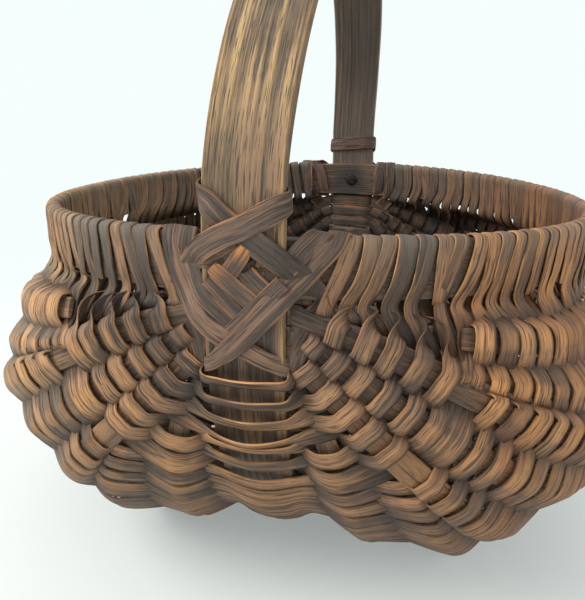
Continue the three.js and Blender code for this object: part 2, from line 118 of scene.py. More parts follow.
def smooth_through(keys: np.ndarray, steps: int) -> np.ndarray:
    """A centripetal Catmull-Rom curve through keys whose first three columns are a place.

    Each span is blended from its four nearest keys, with knots spaced by the square
    root of the distance between places. All other columns are blended the same way.

    Args:
        keys: One row for each key.
        steps: Points for each span.

    Returns:
        The rows along the curve, the last key included.
    """
    padded = np.vstack([2 * keys[:1] - keys[1:2], keys, 2 * keys[-1:] - keys[-2:-1]])
    leap = np.linalg.norm(np.diff(padded[:, :3], axis=0), axis=1)
    knots = np.concatenate([[0.0], np.cumsum(np.sqrt(np.maximum(leap, 1e-4)))])
    p0, p1, p2, p3 = (padded[i:len(padded) - 3 + i, None, :] for i in range(4))
    k0, k1, k2, k3 = (knots[i:len(knots) - 3 + i, None, None] for i in range(4))
    share = np.arange(steps)[None, :, None] / steps
    k = k1 + (k2 - k1) * share
    a1 = ((k1 - k) * p0 + (k - k0) * p1) / (k1 - k0)
    a2 = ((k2 - k) * p1 + (k - k1) * p2) / (k2 - k1)
    a3 = ((k3 - k) * p2 + (k - k2) * p3) / (k3 - k2)
    b1 = ((k2 - k) * a1 + (k - k0) * a2) / (k2 - k0)
    b2 = ((k3 - k) * a2 + (k - k1) * a3) / (k3 - k1)
    curve = ((k2 - k) * b1 + (k - k1) * b2) / (k2 - k1)
    return np.vstack([curve.reshape(-1, keys.shape[1]), keys[-1:]])


def travelled(points: np.ndarray) -> np.ndarray:
    """Distance along a path of points, from its first point."""
    leap = np.linalg.norm(np.diff(points, axis=0), axis=1)
    return np.concatenate([[0.0], np.cumsum(leap)])


# Meshes

SHARP_ANGLE = math.radians(42.0)
EDGE_POINTS = 0.999
BEVEL_POINTS = 0.9
# Strength of the dirt and painted shade along a strip's darker edge.
EDGE_DIRT_AND_SHADE = 0.9


@dataclass
class Surface:
    """A mesh in the making, with what its finish reads at each point.

    Attributes:
        points: Places in millimetres from the rim's top edge.
        faces: Four point numbers for each face.
        grain: Metres along the piece and across it, and the piece's own number.
        marks: How bare the edge is (below 0, the darker edge's dirt and painted shade), how exposed it is,
            and its dust.
    """

    points: np.ndarray
    faces: np.ndarray
    grain: np.ndarray
    marks: np.ndarray


def flat_section(bevel: float, inner: Sequence[float] = (0.72, 0.24)) -> np.ndarray:
    """Outline of a split's section, anticlockwise, as shares of its half width and half
    thickness: two flat faces whose corners are bevelled.

    Args:
        bevel: Share of the half width that the bevel takes.
        inner: Places of the points on each half of a face.

    Returns:
        One row for each point.
    """
    half = np.array([1.0 - bevel, *inner])
    across = np.concatenate([-half, half[::-1]])
    side = 0.45
    lower = np.column_stack([across, -np.ones(len(across))])
    upper = np.column_stack([across[::-1], np.ones(len(across))])
    return np.vstack([[[-1.0, -side]], lower, [[1.0, -side], [1.0, side]], upper, [[-1.0, side]]])


def tube_faces(rings: int, size: int, closed: bool) -> np.ndarray:
    """Quads between neighbouring rings of points.

    Args:
        rings: Number of rings.
        size: Points on each ring.
        closed: True if the last ring meets the first. Otherwise quads close both ends.

    Returns:
        Four point numbers for each face.
    """
    index = np.arange(rings * size).reshape(rings, size)
    ahead = np.roll(index, -1, axis=0)
    if not closed:
        index, ahead = index[:-1], ahead[:-1]
    wall = np.stack([index, np.roll(index, -1, axis=1), np.roll(ahead, -1, axis=1), ahead], -1)
    faces = wall.reshape(-1, 4)
    if closed:
        return faces
    k = np.arange(size // 2 - 1)
    cap = np.column_stack([k, size - 1 - k, size - 2 - k, k + 1])
    return np.vstack([faces, cap, cap[:, ::-1] + (rings - 1) * size])


def sweep(
    centres: np.ndarray,
    across: np.ndarray,
    facing: np.ndarray,
    width: np.ndarray,
    thickness: np.ndarray,
    section: np.ndarray,
    closed: bool,
    cup: np.ndarray | float = 0.0,
    height: np.ndarray | float = 1.0,
    dust: np.ndarray | float = 0.3,
    bright: np.ndarray | float = 0.0,
    rubbed: float = 0.12,
    tip: float = 0.0,
    seed: float = 0.0,
) -> Surface:
    """Carries a flat section along a path.

    A point lies at centre + across * (s * width / 2) + facing * (t * thickness / 2 +
    cup * (1 - s^2)), for each (s, t) of the section. Points at the section's edges are
    marked as bare, those of its bevels less so, and the darker edge as dirty and in
    painted shade.

    Args:
        centres: Middle of the strip at each ring.
        across: Unit direction of the width.
        facing: Unit direction of the thickness.
        width: Width at each ring.
        thickness: Thickness at each ring.
        section: Outline from flat_section.
        closed: True if the last ring meets the first.
        cup: How far the middle of the face stands out.
        height: How much of the strip is exposed, 0 in a recess and 1 on a crest.
        dust: How much dust lies on it, 0 to 1.
        bright: Which edge is bare, -1 or 1, or 0 for both a little. The other is dirty and
            in painted shade, which is written as less than 0.
        rubbed: How bare the face is beside its edges.
        tip: Length at the path's start that is worn bare.
        seed: Number that tells this strip's grain from another's.

    Returns:
        The surface.
    """
    rings, size = len(centres), len(section)
    s, t = section[:, 0], section[:, 1]
    cup, height, dust, bright, width, thickness = (
        np.broadcast_to(values, rings)[:, None] for values in (cup, height, dust, bright, width, thickness)
    )
    out = t * thickness / 2 + cup * (1.0 - s * s)
    side = s * width / 2
    points = centres[:, None] + across[:, None] * side[..., None] + facing[:, None] * out[..., None]
    along = travelled(centres)[:, None]
    grain = np.empty((rings, size, 3))
    grain[..., 0] = along * MM
    grain[..., 1] = side * MM
    grain[..., 2] = seed
    at_edge = np.where(np.abs(s) > EDGE_POINTS, 1.0, np.where(np.abs(s) > BEVEL_POINTS, rubbed, 0.0))
    lit = np.sign(s) * bright
    # Below 0 on the darker edge: its dirt and painted shade.
    bare = at_edge * (0.5 + 0.5 * lit) - EDGE_DIRT_AND_SHADE * s * s * np.clip(-lit, 0.0, 1.0)
    if tip:
        bare = np.maximum(bare, np.exp(-((along / tip) ** 2)))
    marks = np.empty((rings, size, 3))
    marks[..., 0] = bare
    marks[..., 1] = np.clip(height, 0.0, 1.0)
    marks[..., 2] = np.clip(dust, 0.0, 1.0)
    faces = tube_faces(rings, size, closed)
    return Surface(points.reshape(-1, 3), faces, grain.reshape(-1, 3), marks.reshape(-1, 3))


def right_way_out(surface: Surface) -> Surface:
    """Turns a closed surface's faces so that the volume inside it is positive.

    Args:
        surface: The surface, whose faces may point inwards.

    Returns:
        The same surface.
    """
    p = surface.points[surface.faces]
    volume = dots(p[:, 0], np.cross(p[:, 1], p[:, 2])).sum()
    volume += dots(p[:, 0], np.cross(p[:, 2], p[:, 3])).sum()
    if volume < 0:
        surface.faces = surface.faces[:, ::-1]
    return surface


def add_piece(
    name: str,
    surface: Surface,
    slot: str,
    material: bpy.types.Material,
    nodes: Sequence[str] = (),
) -> bpy.types.Object:
    """Puts a surface into the scene as a finished piece that rides on the basket.

    Args:
        name: Name of the piece.
        surface: Its shape, in millimetres from the rim's top edge.
        slot: Material slot of the record that it stands for.
        material: Its finish.
        nodes: Frame nodes that it replaces.

    Returns:
        The new object.
    """
    surface = right_way_out(surface)
    mesh = bpy.data.meshes.new(name)
    mesh.from_pydata(surface.points * MM + UP * RIM_TOP, [], surface.faces)
    for label, values in (("grain", surface.grain), ("marks", surface.marks)):
        layer = mesh.attributes.new(label, "FLOAT_VECTOR", "POINT")
        layer.data.foreach_set("vector", values.astype(np.float32).ravel())
    mesh.polygons.foreach_set("use_smooth", np.ones(len(mesh.polygons), bool))
    mesh.set_sharp_from_angle(angle=SHARP_ANGLE)
    mesh.materials.append(material)
    mesh.update()
    piece = bpy.data.objects.new(name, mesh)
    bpy.context.scene.collection.objects.link(piece)
    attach(piece, BODY)
    if nodes:
        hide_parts(*nodes)
    LOG.info("%s: %d faces, slot %s", name, len(surface.faces), slot)
    return piece


# Finishes

def tint(red: int, green: int, blue: int) -> tuple[float, float, float, float]:
    """A colour given as it looks on a screen, 0 to 255, as linear light."""
    share = np.array([red, green, blue]) / 255.0
    linear = np.where(share <= 0.04045, share / 12.92, ((share + 0.055) / 1.055) ** 2.4)
    return (float(linear[0]), float(linear[1]), float(linear[2]), 1.0)


class Board:
    """Places and links shader nodes in one tree, left to right."""

    def __init__(self, tree: bpy.types.NodeTree) -> None:
        """Starts on an empty tree."""
        self.tree = tree
        self.tree.nodes.clear()

    def feed(self, node: bpy.types.Node, inputs: Inputs) -> bpy.types.Node:
        """Links or sets a node's inputs.

        Args:
            node: The node.
            inputs: Sockets by name or number, each with a value or a socket to link.

        Returns:
            The node.
        """
        for key, value in inputs.items():
            if isinstance(value, Socket):
                self.tree.links.new(value, node.inputs[key])
            else:
                node.inputs[key].default_value = value
        return node

    def node(self, kind: str, inputs: Inputs | None = None, **settings: object) -> bpy.types.Node:
        """Adds a node.

        Args:
            kind: Name of the node type.
            inputs: What its inputs get, as in feed.
            **settings: Properties of the node, set before its inputs.

        Returns:
            The node.
        """
        made = self.tree.nodes.new(kind)
        made.location = (220.0 * len(self.tree.nodes), 0.0)
        for label, value in settings.items():
            setattr(made, label, value)
        return self.feed(made, inputs or {})

    def math(self, operation: str, a: Value, b: Value, clamp: bool = False) -> Socket:
        """Output of a Math node on two values or sockets."""
        return self.node("ShaderNodeMath", {0: a, 1: b}, operation=operation, use_clamp=clamp).outputs[0]

    def times(self, a: Value, b: Value) -> Socket:
        """Product of two values or sockets."""
        return self.math("MULTIPLY", a, b)

    def mix(self, factor: Value, a: Value, b: Value) -> Socket:
        """Colour between a and b by a factor."""
        return self.node("ShaderNodeMix", {0: factor, 6: a, 7: b}, data_type="RGBA").outputs[2]

    def laid(self, under: Socket, over: Value, mask: Socket, strength: float) -> Socket:
        """The colour under, with the colour over laid on it where a mask says."""
        return self.mix(self.times(mask, strength), under, over)

    def streaked(self, mask: Socket, dark: Colour, light: Colour) -> Socket:
        """Screen colours from dark to light, as a mask goes from 0 to 1."""
        return self.mix(mask, tint(*dark), tint(*light))

    def spread(self, value: Socket, low: float, high: float,
               to_low: float = 0.0, to_high: float = 1.0) -> Socket:
        """A value mapped from low..high to to_low..to_high, smoothly and clamped."""
        inputs = dict(enumerate((value, low, high, to_low, to_high)))
        return self.node("ShaderNodeMapRange", inputs, interpolation_type="SMOOTHSTEP").outputs[0]

    def noise(self, vector: Socket, scale: float, detail: float, roughness: float) -> Socket:
        """Factor of a noise texture, 0 to 1."""
        inputs = {"Vector": vector, "Scale": scale, "Detail": detail, "Roughness": roughness}
        return self.node("ShaderNodeTexNoise", inputs).outputs["Fac"]

    def stretched(self, vector: Socket, x: float, y: float, z: float) -> Socket:
        """A vector multiplied axis by axis."""
        inputs = {0: vector, 1: (x, y, z)}
        return self.node("ShaderNodeVectorMath", inputs, operation="MULTIPLY").outputs[0]

    def group(self, tree: bpy.types.NodeTree, inputs: Inputs) -> dict[str, Socket]:
        """Outputs by name of an effect that is placed with its own values."""
        outputs = self.node("ShaderNodeGroup", inputs, node_tree=tree).outputs
        return {socket.name: socket for socket in outputs}


def new_board(material: bpy.types.Material) -> Board:
    """An empty board on a material's own nodes."""
    material.use_nodes = True
    return Board(material.node_tree)


def start_effect(
    name: str,
    inputs: dict[str, str],
    outputs: Sequence[str],
) -> tuple[Board, dict[str, Socket], bpy.types.Node]:
    """Starts a shader node group.

    Args:
        name: Name of the group.
        inputs: Input sockets, each with its type.
        outputs: Output sockets, all of them values.

    Returns:
        Its board, its inputs by name, and its output node.
    """
    tree = bpy.data.node_groups.new(name, "ShaderNodeTree")
    for label, kind in inputs.items():
        tree.interface.new_socket(name=label, in_out="INPUT", socket_type=kind)
    for label in outputs:
        tree.interface.new_socket(name=label, in_out="OUTPUT", socket_type=FLOAT)
    board = Board(tree)
    entry = board.node("NodeGroupInput")
    exit_node = board.node("NodeGroupOutput")
    return board, {label: entry.outputs[label] for label in inputs}, exit_node


VECTOR, FLOAT = "NodeSocketVector", "NodeSocketFloat"


@dataclass(frozen=True)
class SplitGrain:
    """Grain of split oak, drawn out along the piece.

    Every pattern is noise on the piece's own grain coordinates, given as waves to the
    metre along the grain and across it. Pores are the darkest tips of the finest one,
    and short cracks those of a coarser one.
    """

    fine: tuple[float, float] = (40.0, 1500.0)
    coarse: tuple[float, float] = (11.0, 700.0)
    broad: tuple[float, float] = (9.0, 170.0)
    pores: tuple[float, float] = (130.0, 3200.0)
    cracks: tuple[float, float] = (38.0, 760.0)
    pore_tips: tuple[float, float] = (0.57, 0.71)
    crack_tips: tuple[float, float] = (0.6, 0.67)
    crack_depth: float = 0.9
    between_strips: float = 7.3

    def tree(self) -> bpy.types.NodeTree:
        """Builds the effect.

        Returns:
            The shader node group: Streaks and Bands run from dark to pale, Pores are 1.
        """
        inputs = {"Grain": VECTOR, "Coarseness": FLOAT}
        board, entry, out = start_effect("split_grain", inputs, ("Streaks", "Bands", "Pores"))
        even = board.stretched(entry["Grain"], 1.0, 1.0, self.between_strips)
        fine = self.pattern(board, even, self.fine, 3.0, 0.6)
        coarse = self.pattern(board, even, self.coarse, 3.0, 0.62)
        streaks = board.mix(entry["Coarseness"], fine, coarse)
        bands = self.pattern(board, even, self.broad, 2.0, 0.5)
        pores = board.spread(self.pattern(board, even, self.pores, 1.0, 0.5), *self.pore_tips)
        cracks = self.pattern(board, even, self.cracks, 2.0, 0.5, 3.0)
        cracks = board.spread(cracks, *self.crack_tips, 0.0, self.crack_depth)
        board.feed(out, {
            "Streaks": board.spread(streaks, 0.32, 0.68),
            "Bands": board.spread(bands, 0.34, 0.66),
            "Pores": board.math("MAXIMUM", pores, cracks),
        })
        return board.tree

    @staticmethod
    def pattern(board: Board, grain: Socket, waves: tuple[float, float], detail: float,
                roughness: float, apart: float = 1.0) -> Socket:
        """Noise at a number of waves to the metre, along and across the grain."""
        return board.noise(board.stretched(grain, *waves, apart), 1.0, detail, roughness)


@dataclass(frozen=True)
class PatinaAndPaintedLight:
    """Where a century of hands, dust and sun has changed the wood, and where light and shade
    are painted on it.

    Grime gathers round both ears, weathering comes in patches a few centimetres wide and
    warmth grows towards the right lobe. Pale grows towards the left lobe: painted light
    from that side. Below says how far down the body a place is, and Back how far behind
    the middle; both serve only to place painted shade. Stain is what the iron of the
    nails has left in the wood about them. All lengths are in metres.
    """

    ear: tuple[float, float, float] = (0.0, 0.127, RIM_TOP - 0.012)
    grime_reach: tuple[float, float] = (0.04, 0.13)
    grime_straggle: float = 0.03
    stain_reach: tuple[float, float] = (0.0135, 0.021)
    stain_straggle: float = 0.01
    warm_side: tuple[float, float] = (0.0, 0.12)
    pale_side: tuple[float, float] = (-0.03, -0.13)
    lower_part: tuple[float, float] = (RIM_TOP - 0.03, RIM_TOP - 0.15)
    back_part: tuple[float, float] = (0.0, 0.1)

    def tree(self) -> bpy.types.NodeTree:
        """Builds the effect.

        Returns:
            The shader node group, whose outputs all run from 0 to 1.
        """
        names = ("Grime", "Weather", "Warmth", "Strip", "Pale", "Below", "Back", "Stain")
        board, entry, out = start_effect("patina", {"Place": VECTOR, "Grain": VECTOR}, names)
        place = entry["Place"]
        mirrored = board.node("ShaderNodeVectorMath", {0: place}, operation="ABSOLUTE").outputs[0]
        to_ear = board.node("ShaderNodeVectorMath", {0: mirrored, 1: self.ear}, operation="DISTANCE")
        reach = to_ear.outputs["Value"]
        patches = board.noise(place, 26.0, 3.0, 0.55)
        grime = board.math("ADD", reach, board.times(patches, self.grime_straggle))
        stain = board.math("ADD", reach, board.times(patches, self.stain_straggle))
        axes = board.node("ShaderNodeSeparateXYZ", {0: place}).outputs
        strip = board.noise(board.stretched(entry["Grain"], 7.0, 0.0, 3.1), 1.0, 1.0, 0.5)
        board.feed(out, {
            "Grime": board.spread(grime, *self.grime_reach, 1.0, 0.0),
            "Weather": board.spread(board.noise(place, 34.0, 4.0, 0.6), 0.42, 0.7),
            "Warmth": board.spread(axes["X"], *self.warm_side),
            "Strip": board.spread(strip, 0.36, 0.64),
            # Painted light: paler towards the left lobe, the side the light comes from.
            "Pale": board.spread(axes["X"], *self.pale_side),
            "Below": board.spread(axes["Z"], *self.lower_part),
            "Back": board.spread(axes["Y"], *self.back_part),
            "Stain": board.spread(stain, *self.stain_reach, 1.0, 0.0),
        })
        return board.tree


@dataclass(frozen=True)
class WornEdge:
    """Mask of the bare wood along the edges of a split. Streaks break it up, and it is
    less in hollows and where the wood has weathered."""

    left_between: float = 0.25
    left_in_hollows: float = 0.25
    left_weathered: float = 0.2
    strength: float = 0.85

    def tree(self) -> bpy.types.NodeTree:
        """Builds the effect.

        Returns:
            The shader node group, with the mask as its only output.
        """
        inputs = {"Edge": FLOAT, "Streaks": FLOAT, "Height": FLOAT, "Weather": FLOAT}
        board, entry, out = start_effect("worn_edge", inputs, ("Mask",))
        broken = board.spread(entry["Streaks"], 0.2, 0.85, self.left_between, 1.0)
        raised = board.spread(entry["Height"], 0.25, 0.8, self.left_in_hollows, 1.0)
        kept = board.spread(entry["Weather"], 0.2, 0.9, 1.0, self.left_weathered)
        mask = board.times(board.times(board.times(entry["Edge"], broken), raised), kept)
        board.feed(out, {"Mask": board.math("MULTIPLY", mask, self.strength, clamp=True)})
        return board.tree


@dataclass(frozen=True)
class AgeAndPaintedShade:
    """Colours and strengths laid on all the oak alike: what the years have done to it, and
    the painted shade low down, behind the middle, in recesses and along the darker edge
    of a strip, where dirt lies too. Each pair of colours is laid on from dark to light
    along the streaks."""

    soil: Colour = (42, 32, 28)
    pore: Colour = (36, 28, 24)
    # Painted shade low down on the body and the spine, laid from dark to light along the streaks.
    shade: tuple[Colour, Colour] = ((58, 45, 39), (114, 90, 73))
    # Painted shade, greyer, on the far side behind the middle.
    far_shade: tuple[Colour, Colour] = ((66, 57, 53), (124, 110, 101))
    iron_stain: Colour = (38, 36, 40)
    dust: Colour = (150, 142, 128)
    # Painted shade in recesses, where a strip lies low or under another.
    recess_shade: Colour = (31, 26, 24)
    # Dirt and painted shade along a strip's darker edge, and further down its strength.
    edge_dirt_and_shade: Colour = (31, 25, 22)
    strip_share: float = 0.42
    warming: float = 0.42
    paling: float = 0.62
    greying: float = 0.38
    # Strength of the painted shade in recesses.
    recess_shade_depth: float = 0.74
    edge_dirt_and_shade_depth: float = 0.75


AGE_AND_PAINTED_SHADE = AgeAndPaintedShade()


@dataclass(frozen=True)
class Readings:
    """What an oak finish reads at a place: the marks of its strip, its grain, the marks of
    the years and where painted light and shade lie.
    """

    edge: Socket
    height: Socket
    dust: Socket
    streaks: Socket
    pores: Socket
    fleck: Socket
    # Marks of the years, and masks that place painted light and shade.
    age: dict[str, Socket]


@dataclass(frozen=True)
class OakFinish:
    """Colours and surface of one kind of oak split.

    Attributes:
        name: Name of the material.
        pale: Wood between the grain's dark lines.
        deep: The dark lines.
        warm: What it turns to on the warmer side and in some strips.
        grey: Weathered wood.
        edge: Bare wood at edges and crowns; on crowns it also stands in for a painted highlight.
        lit_side_tone: What it turns to on the paler left side: painted light from that side.
        soiled: Wood under grime.
        coarseness: How wide the grain's lines are, 0 to 1.
        roughness: Roughness half way between its streaks.
        relief: Depth of the grain in metres.
        grime: Strength of the grime about the ears.
        contrast: Strength of the pores and cracks.
        low_shade_strength: How much painted shade darkens it low down.
        far_shade_strength: How much painted shade darkens and greys it behind the middle.
        stained: Strength of the iron's stain.
        rubbed: How pale its crowns are, worn bare and with a painted highlight.
    """

    name: str
    pale: Colour
    deep: Colour
    warm: Colour
    grey: Colour
    edge: Colour
    lit_side_tone: Colour = (190, 160, 126)
    soiled: Colour = (118, 92, 76)
    coarseness: float = 0.3
    roughness: float = 0.62
    relief: float = 0.0003
    grime: float = 0.6
    contrast: float = 0.55
    low_shade_strength: float = 0.3
    far_shade_strength: float = 0.0
    stained: float = 0.0
    rubbed: float = 0.0

    def readings(self, board: Board, effects: dict[str, bpy.types.NodeTree]) -> Readings:
        """Places the grain, and the marks of the years with the masks of painted light and
        shade, fed by the piece's own attributes.

        Args:
            board: The material's board.
            effects: The shared node groups by name.

        Returns:
            What the finish reads.
        """
        grain = board.node("ShaderNodeAttribute", attribute_name="grain").outputs["Vector"]
        marks = board.node("ShaderNodeAttribute", attribute_name="marks").outputs["Vector"]
        place = board.node("ShaderNodeTexCoord").outputs["Object"]
        mark = board.node("ShaderNodeSeparateXYZ", {0: marks}).outputs
        wood = board.group(effects["split_grain"], {"Grain": grain, "Coarseness": self.coarseness})
        age = board.group(effects["patina"], {"Place": place, "Grain": grain})
        fleck = board.times(board.math("ADD", wood["Streaks"], wood["Bands"]), 0.5)
        return Readings(mark["X"], mark["Y"], mark["Z"], wood["Streaks"], wood["Pores"], fleck, age)

    def split_colour(self, board: Board, read: Readings) -> Socket:
        """The wood itself: deep and pale along the grain, then warmed, paled towards the left
        by painted light from that side, and greyed.

        Args:
            board: The material's board.
            read: What the finish reads.

        Returns:
            The colour.
        """
        age = read.age
        shared = board.mix(AGE_AND_PAINTED_SHADE.strip_share, read.fleck, age["Strip"])
        colour = board.streaked(board.spread(shared, 0.3, 0.72), self.deep, self.pale)
        warmth = board.math("ADD", age["Warmth"], age["Strip"])
        colour = board.laid(colour, tint(*self.warm), warmth, AGE_AND_PAINTED_SHADE.warming)
        # Painted light: paler towards the left lobe.
        colour = board.laid(colour, tint(*self.lit_side_tone), age["Pale"], AGE_AND_PAINTED_SHADE.paling)
        return board.laid(colour, tint(*self.grey), age["Weather"], AGE_AND_PAINTED_SHADE.greying)

    def handled_colour(self, board: Board, read: Readings, colour: Socket,
                       worn_edge: bpy.types.NodeTree) -> Socket:
        """The wood after use: grime, crowns rubbed pale with a painted highlight, dark pores
        and bare edges.

        Args:
            board: The material's board.
            read: What the finish reads.
            colour: The wood's own colour.
            worn_edge: The shared node group of that name.

        Returns:
            The colour.
        """
        soiled = board.streaked(board.spread(read.fleck, 0.15, 0.85), AGE_AND_PAINTED_SHADE.soil, self.soiled)
        colour = board.laid(colour, soiled, read.age["Grime"], self.grime)
        clean = board.spread(read.age["Grime"], 0.0, 1.0, 1.0, 0.2)
        # Crowns of raised crossings paled: rubbed wear with a painted highlight.
        rubbed_and_lit_crown = board.times(board.spread(read.height, 0.82, 1.0, 0.0, self.rubbed), read.fleck)
        colour = board.mix(board.times(rubbed_and_lit_crown, clean), colour, tint(*self.edge))
        colour = board.laid(colour, tint(*AGE_AND_PAINTED_SHADE.pore), read.pores, self.contrast)
        inputs = {"Edge": read.edge, "Streaks": read.streaks, "Height": read.height,
                  "Weather": read.age["Weather"]}
        bare = board.group(worn_edge, inputs)
        return board.mix(bare["Mask"], colour, tint(*self.edge))

    def settled_colour(self, board: Board, read: Readings, colour: Socket) -> Socket:
        """What lies over all of it: painted shade low down and behind the middle, iron stain,
        dust, painted shade in recesses, and dirt with painted shade along the darker edge.

        Args:
            board: The material's board.
            read: What the finish reads.
            colour: The colour after use.

        Returns:
            The final colour.
        """
        age = read.age
        # Painted shade low down on the body and the spine.
        colour = board.laid(colour, board.streaked(read.streaks, *AGE_AND_PAINTED_SHADE.shade), age["Below"], self.low_shade_strength)
        # Painted shade on the far side: darker and greyer behind the middle.
        colour = board.laid(colour, board.streaked(read.streaks, *AGE_AND_PAINTED_SHADE.far_shade), age["Back"], self.far_shade_strength)
        colour = board.laid(colour, tint(*AGE_AND_PAINTED_SHADE.iron_stain), age["Stain"], self.stained)
        settled = board.times(read.dust, board.spread(read.fleck, 0.1, 0.9, 0.4, 0.05))
        colour = board.mix(settled, colour, tint(*AGE_AND_PAINTED_SHADE.dust))
        # Painted shade in recesses: darker the less exposed a point is.
        recess_shade = board.spread(read.height, 0.0, 0.75, AGE_AND_PAINTED_SHADE.recess_shade_depth, 0.0)
        colour = board.mix(recess_shade, colour, tint(*AGE_AND_PAINTED_SHADE.recess_shade))
        # Dirt and painted shade along the darker edge of a strip.
        edge_dirt_and_shade_mask = board.spread(read.edge, -0.9, -0.15, 1.0, 0.0)
        return board.laid(colour, tint(*AGE_AND_PAINTED_SHADE.edge_dirt_and_shade), edge_dirt_and_shade_mask, AGE_AND_PAINTED_SHADE.edge_dirt_and_shade_depth)

    def material(self, effects: dict[str, bpy.types.NodeTree]) -> bpy.types.Material:
        """Builds the finish. Pale streaks are smoother than dark ones, and pores are
        sunk.

        Args:
            effects: The shared node groups by name.

        Returns:
            The material.
        """
        made = bpy.data.materials.new(self.name)
        board = new_board(made)
        read = self.readings(board, effects)
        colour = self.split_colour(board, read)
        colour = self.handled_colour(board, read, colour, effects["worn_edge"])
        colour = self.settled_colour(board, read, colour)
        rough = board.spread(read.streaks, 0.0, 1.0, self.roughness + 0.12, self.roughness - 0.06)
        relief = board.math("SUBTRACT", read.fleck, board.times(read.pores, 0.5))
        bump = board.node("ShaderNodeBump", {"Height": relief, "Distance": self.relief, "Strength": 1.0})
        shader = board.node("ShaderNodeBsdfPrincipled", {
            "Base Color": colour,
            "Roughness": rough,
            "Normal": bump.outputs["Normal"],
            "Specular IOR Level": 0.4,
        })
        board.node("ShaderNodeOutputMaterial", {"Surface": shader.outputs[0]})
        return made


@dataclass(frozen=True)
class IronFinish:
    """Dark hand-forged iron with a little rust."""

    name: str = "forged_iron"
    metal: Colour = (46, 44, 43)
    rust: Colour = (62, 47, 38)

    def material(self) -> bpy.types.Material:
        """Builds the finish: rust patches are noise, duller and less metallic.

        Returns:
            The material.
        """
        made = bpy.data.materials.new(self.name)
        board = new_board(made)
        place = board.node("ShaderNodeTexCoord").outputs["Object"]
        rusty = board.spread(board.noise(place, 900.0, 3.0, 0.6), 0.45, 0.62)
        bump = board.node("ShaderNodeBump", {"Height": rusty, "Distance": 0.0002})
        shader = board.node("ShaderNodeBsdfPrincipled", {
            "Base Color": board.streaked(rusty, self.metal, self.rust),
            "Roughness": board.spread(rusty, 0.0, 1.0, 0.45, 0.85),
            "Metallic": board.spread(rusty, 0.0, 1.0, 0.9, 0.2),
            "Normal": bump.outputs["Normal"],
        })
        board.node("ShaderNodeOutputMaterial", {"Surface": shader.outputs[0]})
        return made


class Oak(Enum):
    """The kinds of oak split in the basket, each with its finish."""

    HANDLE = OakFinish(
        "handle_oak", pale=(255, 214, 142), deep=(50, 38, 29), warm=(236, 174, 96), grey=(156, 132, 100),
        edge=(230, 178, 108), coarseness=0.75, roughness=0.55, relief=0.0003, grime=0.9, contrast=0.9,
        low_shade_strength=2.4, far_shade_strength=0.85,
    )
    RIM = OakFinish(
        "rim_oak", pale=(122, 98, 74), deep=(66, 50, 38), warm=(132, 96, 64), grey=(110, 102, 90),
        edge=(160, 116, 74), stained=0.85,
    )
    RIB = OakFinish(
        "rib_oak", pale=(176, 134, 90), deep=(62, 46, 35), warm=(174, 118, 68), grey=(118, 104, 88),
        edge=(176, 126, 78), coarseness=0.4, grime=0.8, contrast=0.75,
    )
    SPLINT = OakFinish(
        "weaver_splint", pale=(212, 160, 108), deep=(44, 34, 30), warm=(174, 112, 60), grey=(118, 104, 92),
        edge=(218, 156, 92), coarseness=0.25, grime=0.72, contrast=0.95, far_shade_strength=0.4,
        low_shade_strength=0.8, rubbed=0.7,
    )
    LASHING = OakFinish(
        "lashing_splint", pale=(156, 122, 96), deep=(38, 29, 26), warm=(128, 86, 58), grey=(112, 104, 94),
        edge=(218, 138, 70), coarseness=0.15, grime=0.55, contrast=0.9,
    )


# The basket's members

@dataclass(frozen=True)
class Measures:
    """Sizes that every part of the basket shares."""

    rim_radius: float = 125.0
    rim_height: float = 20.0
    rim_thickness: float = 3.5
    rim_dip: float = 4.0
    handle_width: float = 27.0
    handle_thickness: float = 4.0
    handle_rise: float = 119.0
    handle_lean: float = 9.0
    handle_lean_from: float = 20.0
    handle_fullness: float = 0.88
    spine_depth: float = 150.0
    spine_fullness: float = 0.8
    spine_sink: float = 0.75
    bottom_flatness: float = 1.35
    hoop_gap: float = 0.5
    rib_inset: float = 0.4

    @property
    def ear_z(self) -> float:
        """Height of the middle of the rim's band."""
        return -self.rim_height / 2

    @property
    def rim_centre(self) -> float:
        """Radius of the middle of the rim's thickness."""
        return self.rim_radius - self.rim_thickness / 2

    @property
    def handle_reach(self) -> float:
        """Distance of the middle of the handle's thickness from the basket's middle."""
        return self.rim_radius + self.hoop_gap + self.handle_thickness / 2


SIZES = Measures()


@dataclass
class Member:
    """A long piece that the weavers cross, measured by its share u from ear to ear."""

    curve: np.ndarray
    width: float
    half_thickness: float
    lead: float = 0.0
    first_row: int = 0
    lengths: np.ndarray = field(init=False)

    def __post_init__(self) -> None:
        """Measures the curve."""
        self.lengths = travelled(self.curve)

    @property
    def length(self) -> float:
        """Length from tip to tip."""
        return float(self.lengths[-1])

    @property
    def ear_to_ear(self) -> float:
        """Length with the leads, which are the ways from the middle of each ear to a tip."""
        return self.length + 2 * self.lead

    @property
    def tip(self) -> float:
        """Share u of its tip at the front ear."""
        return self.lead / self.ear_to_ear

    def at(self, u: np.ndarray | float) -> np.ndarray:
        """Points at shares u, by linear interpolation along the length.

        Args:
            u: Shares from ear to ear. In a lead they give the tip.

        Returns:
            The points.
        """
        s = np.asarray(u) * self.ear_to_ear - self.lead
        s = np.clip(s, 0.0, self.length)
        return np.stack([np.interp(s, self.lengths, self.curve[:, axis]) for axis in range(3)], -1)

    def along(self, u: np.ndarray) -> np.ndarray:
        """Unit direction towards the back ear at shares u."""
        nudge = 0.006
        return unit(self.at(np.asarray(u) + nudge) - self.at(np.asarray(u) - nudge))


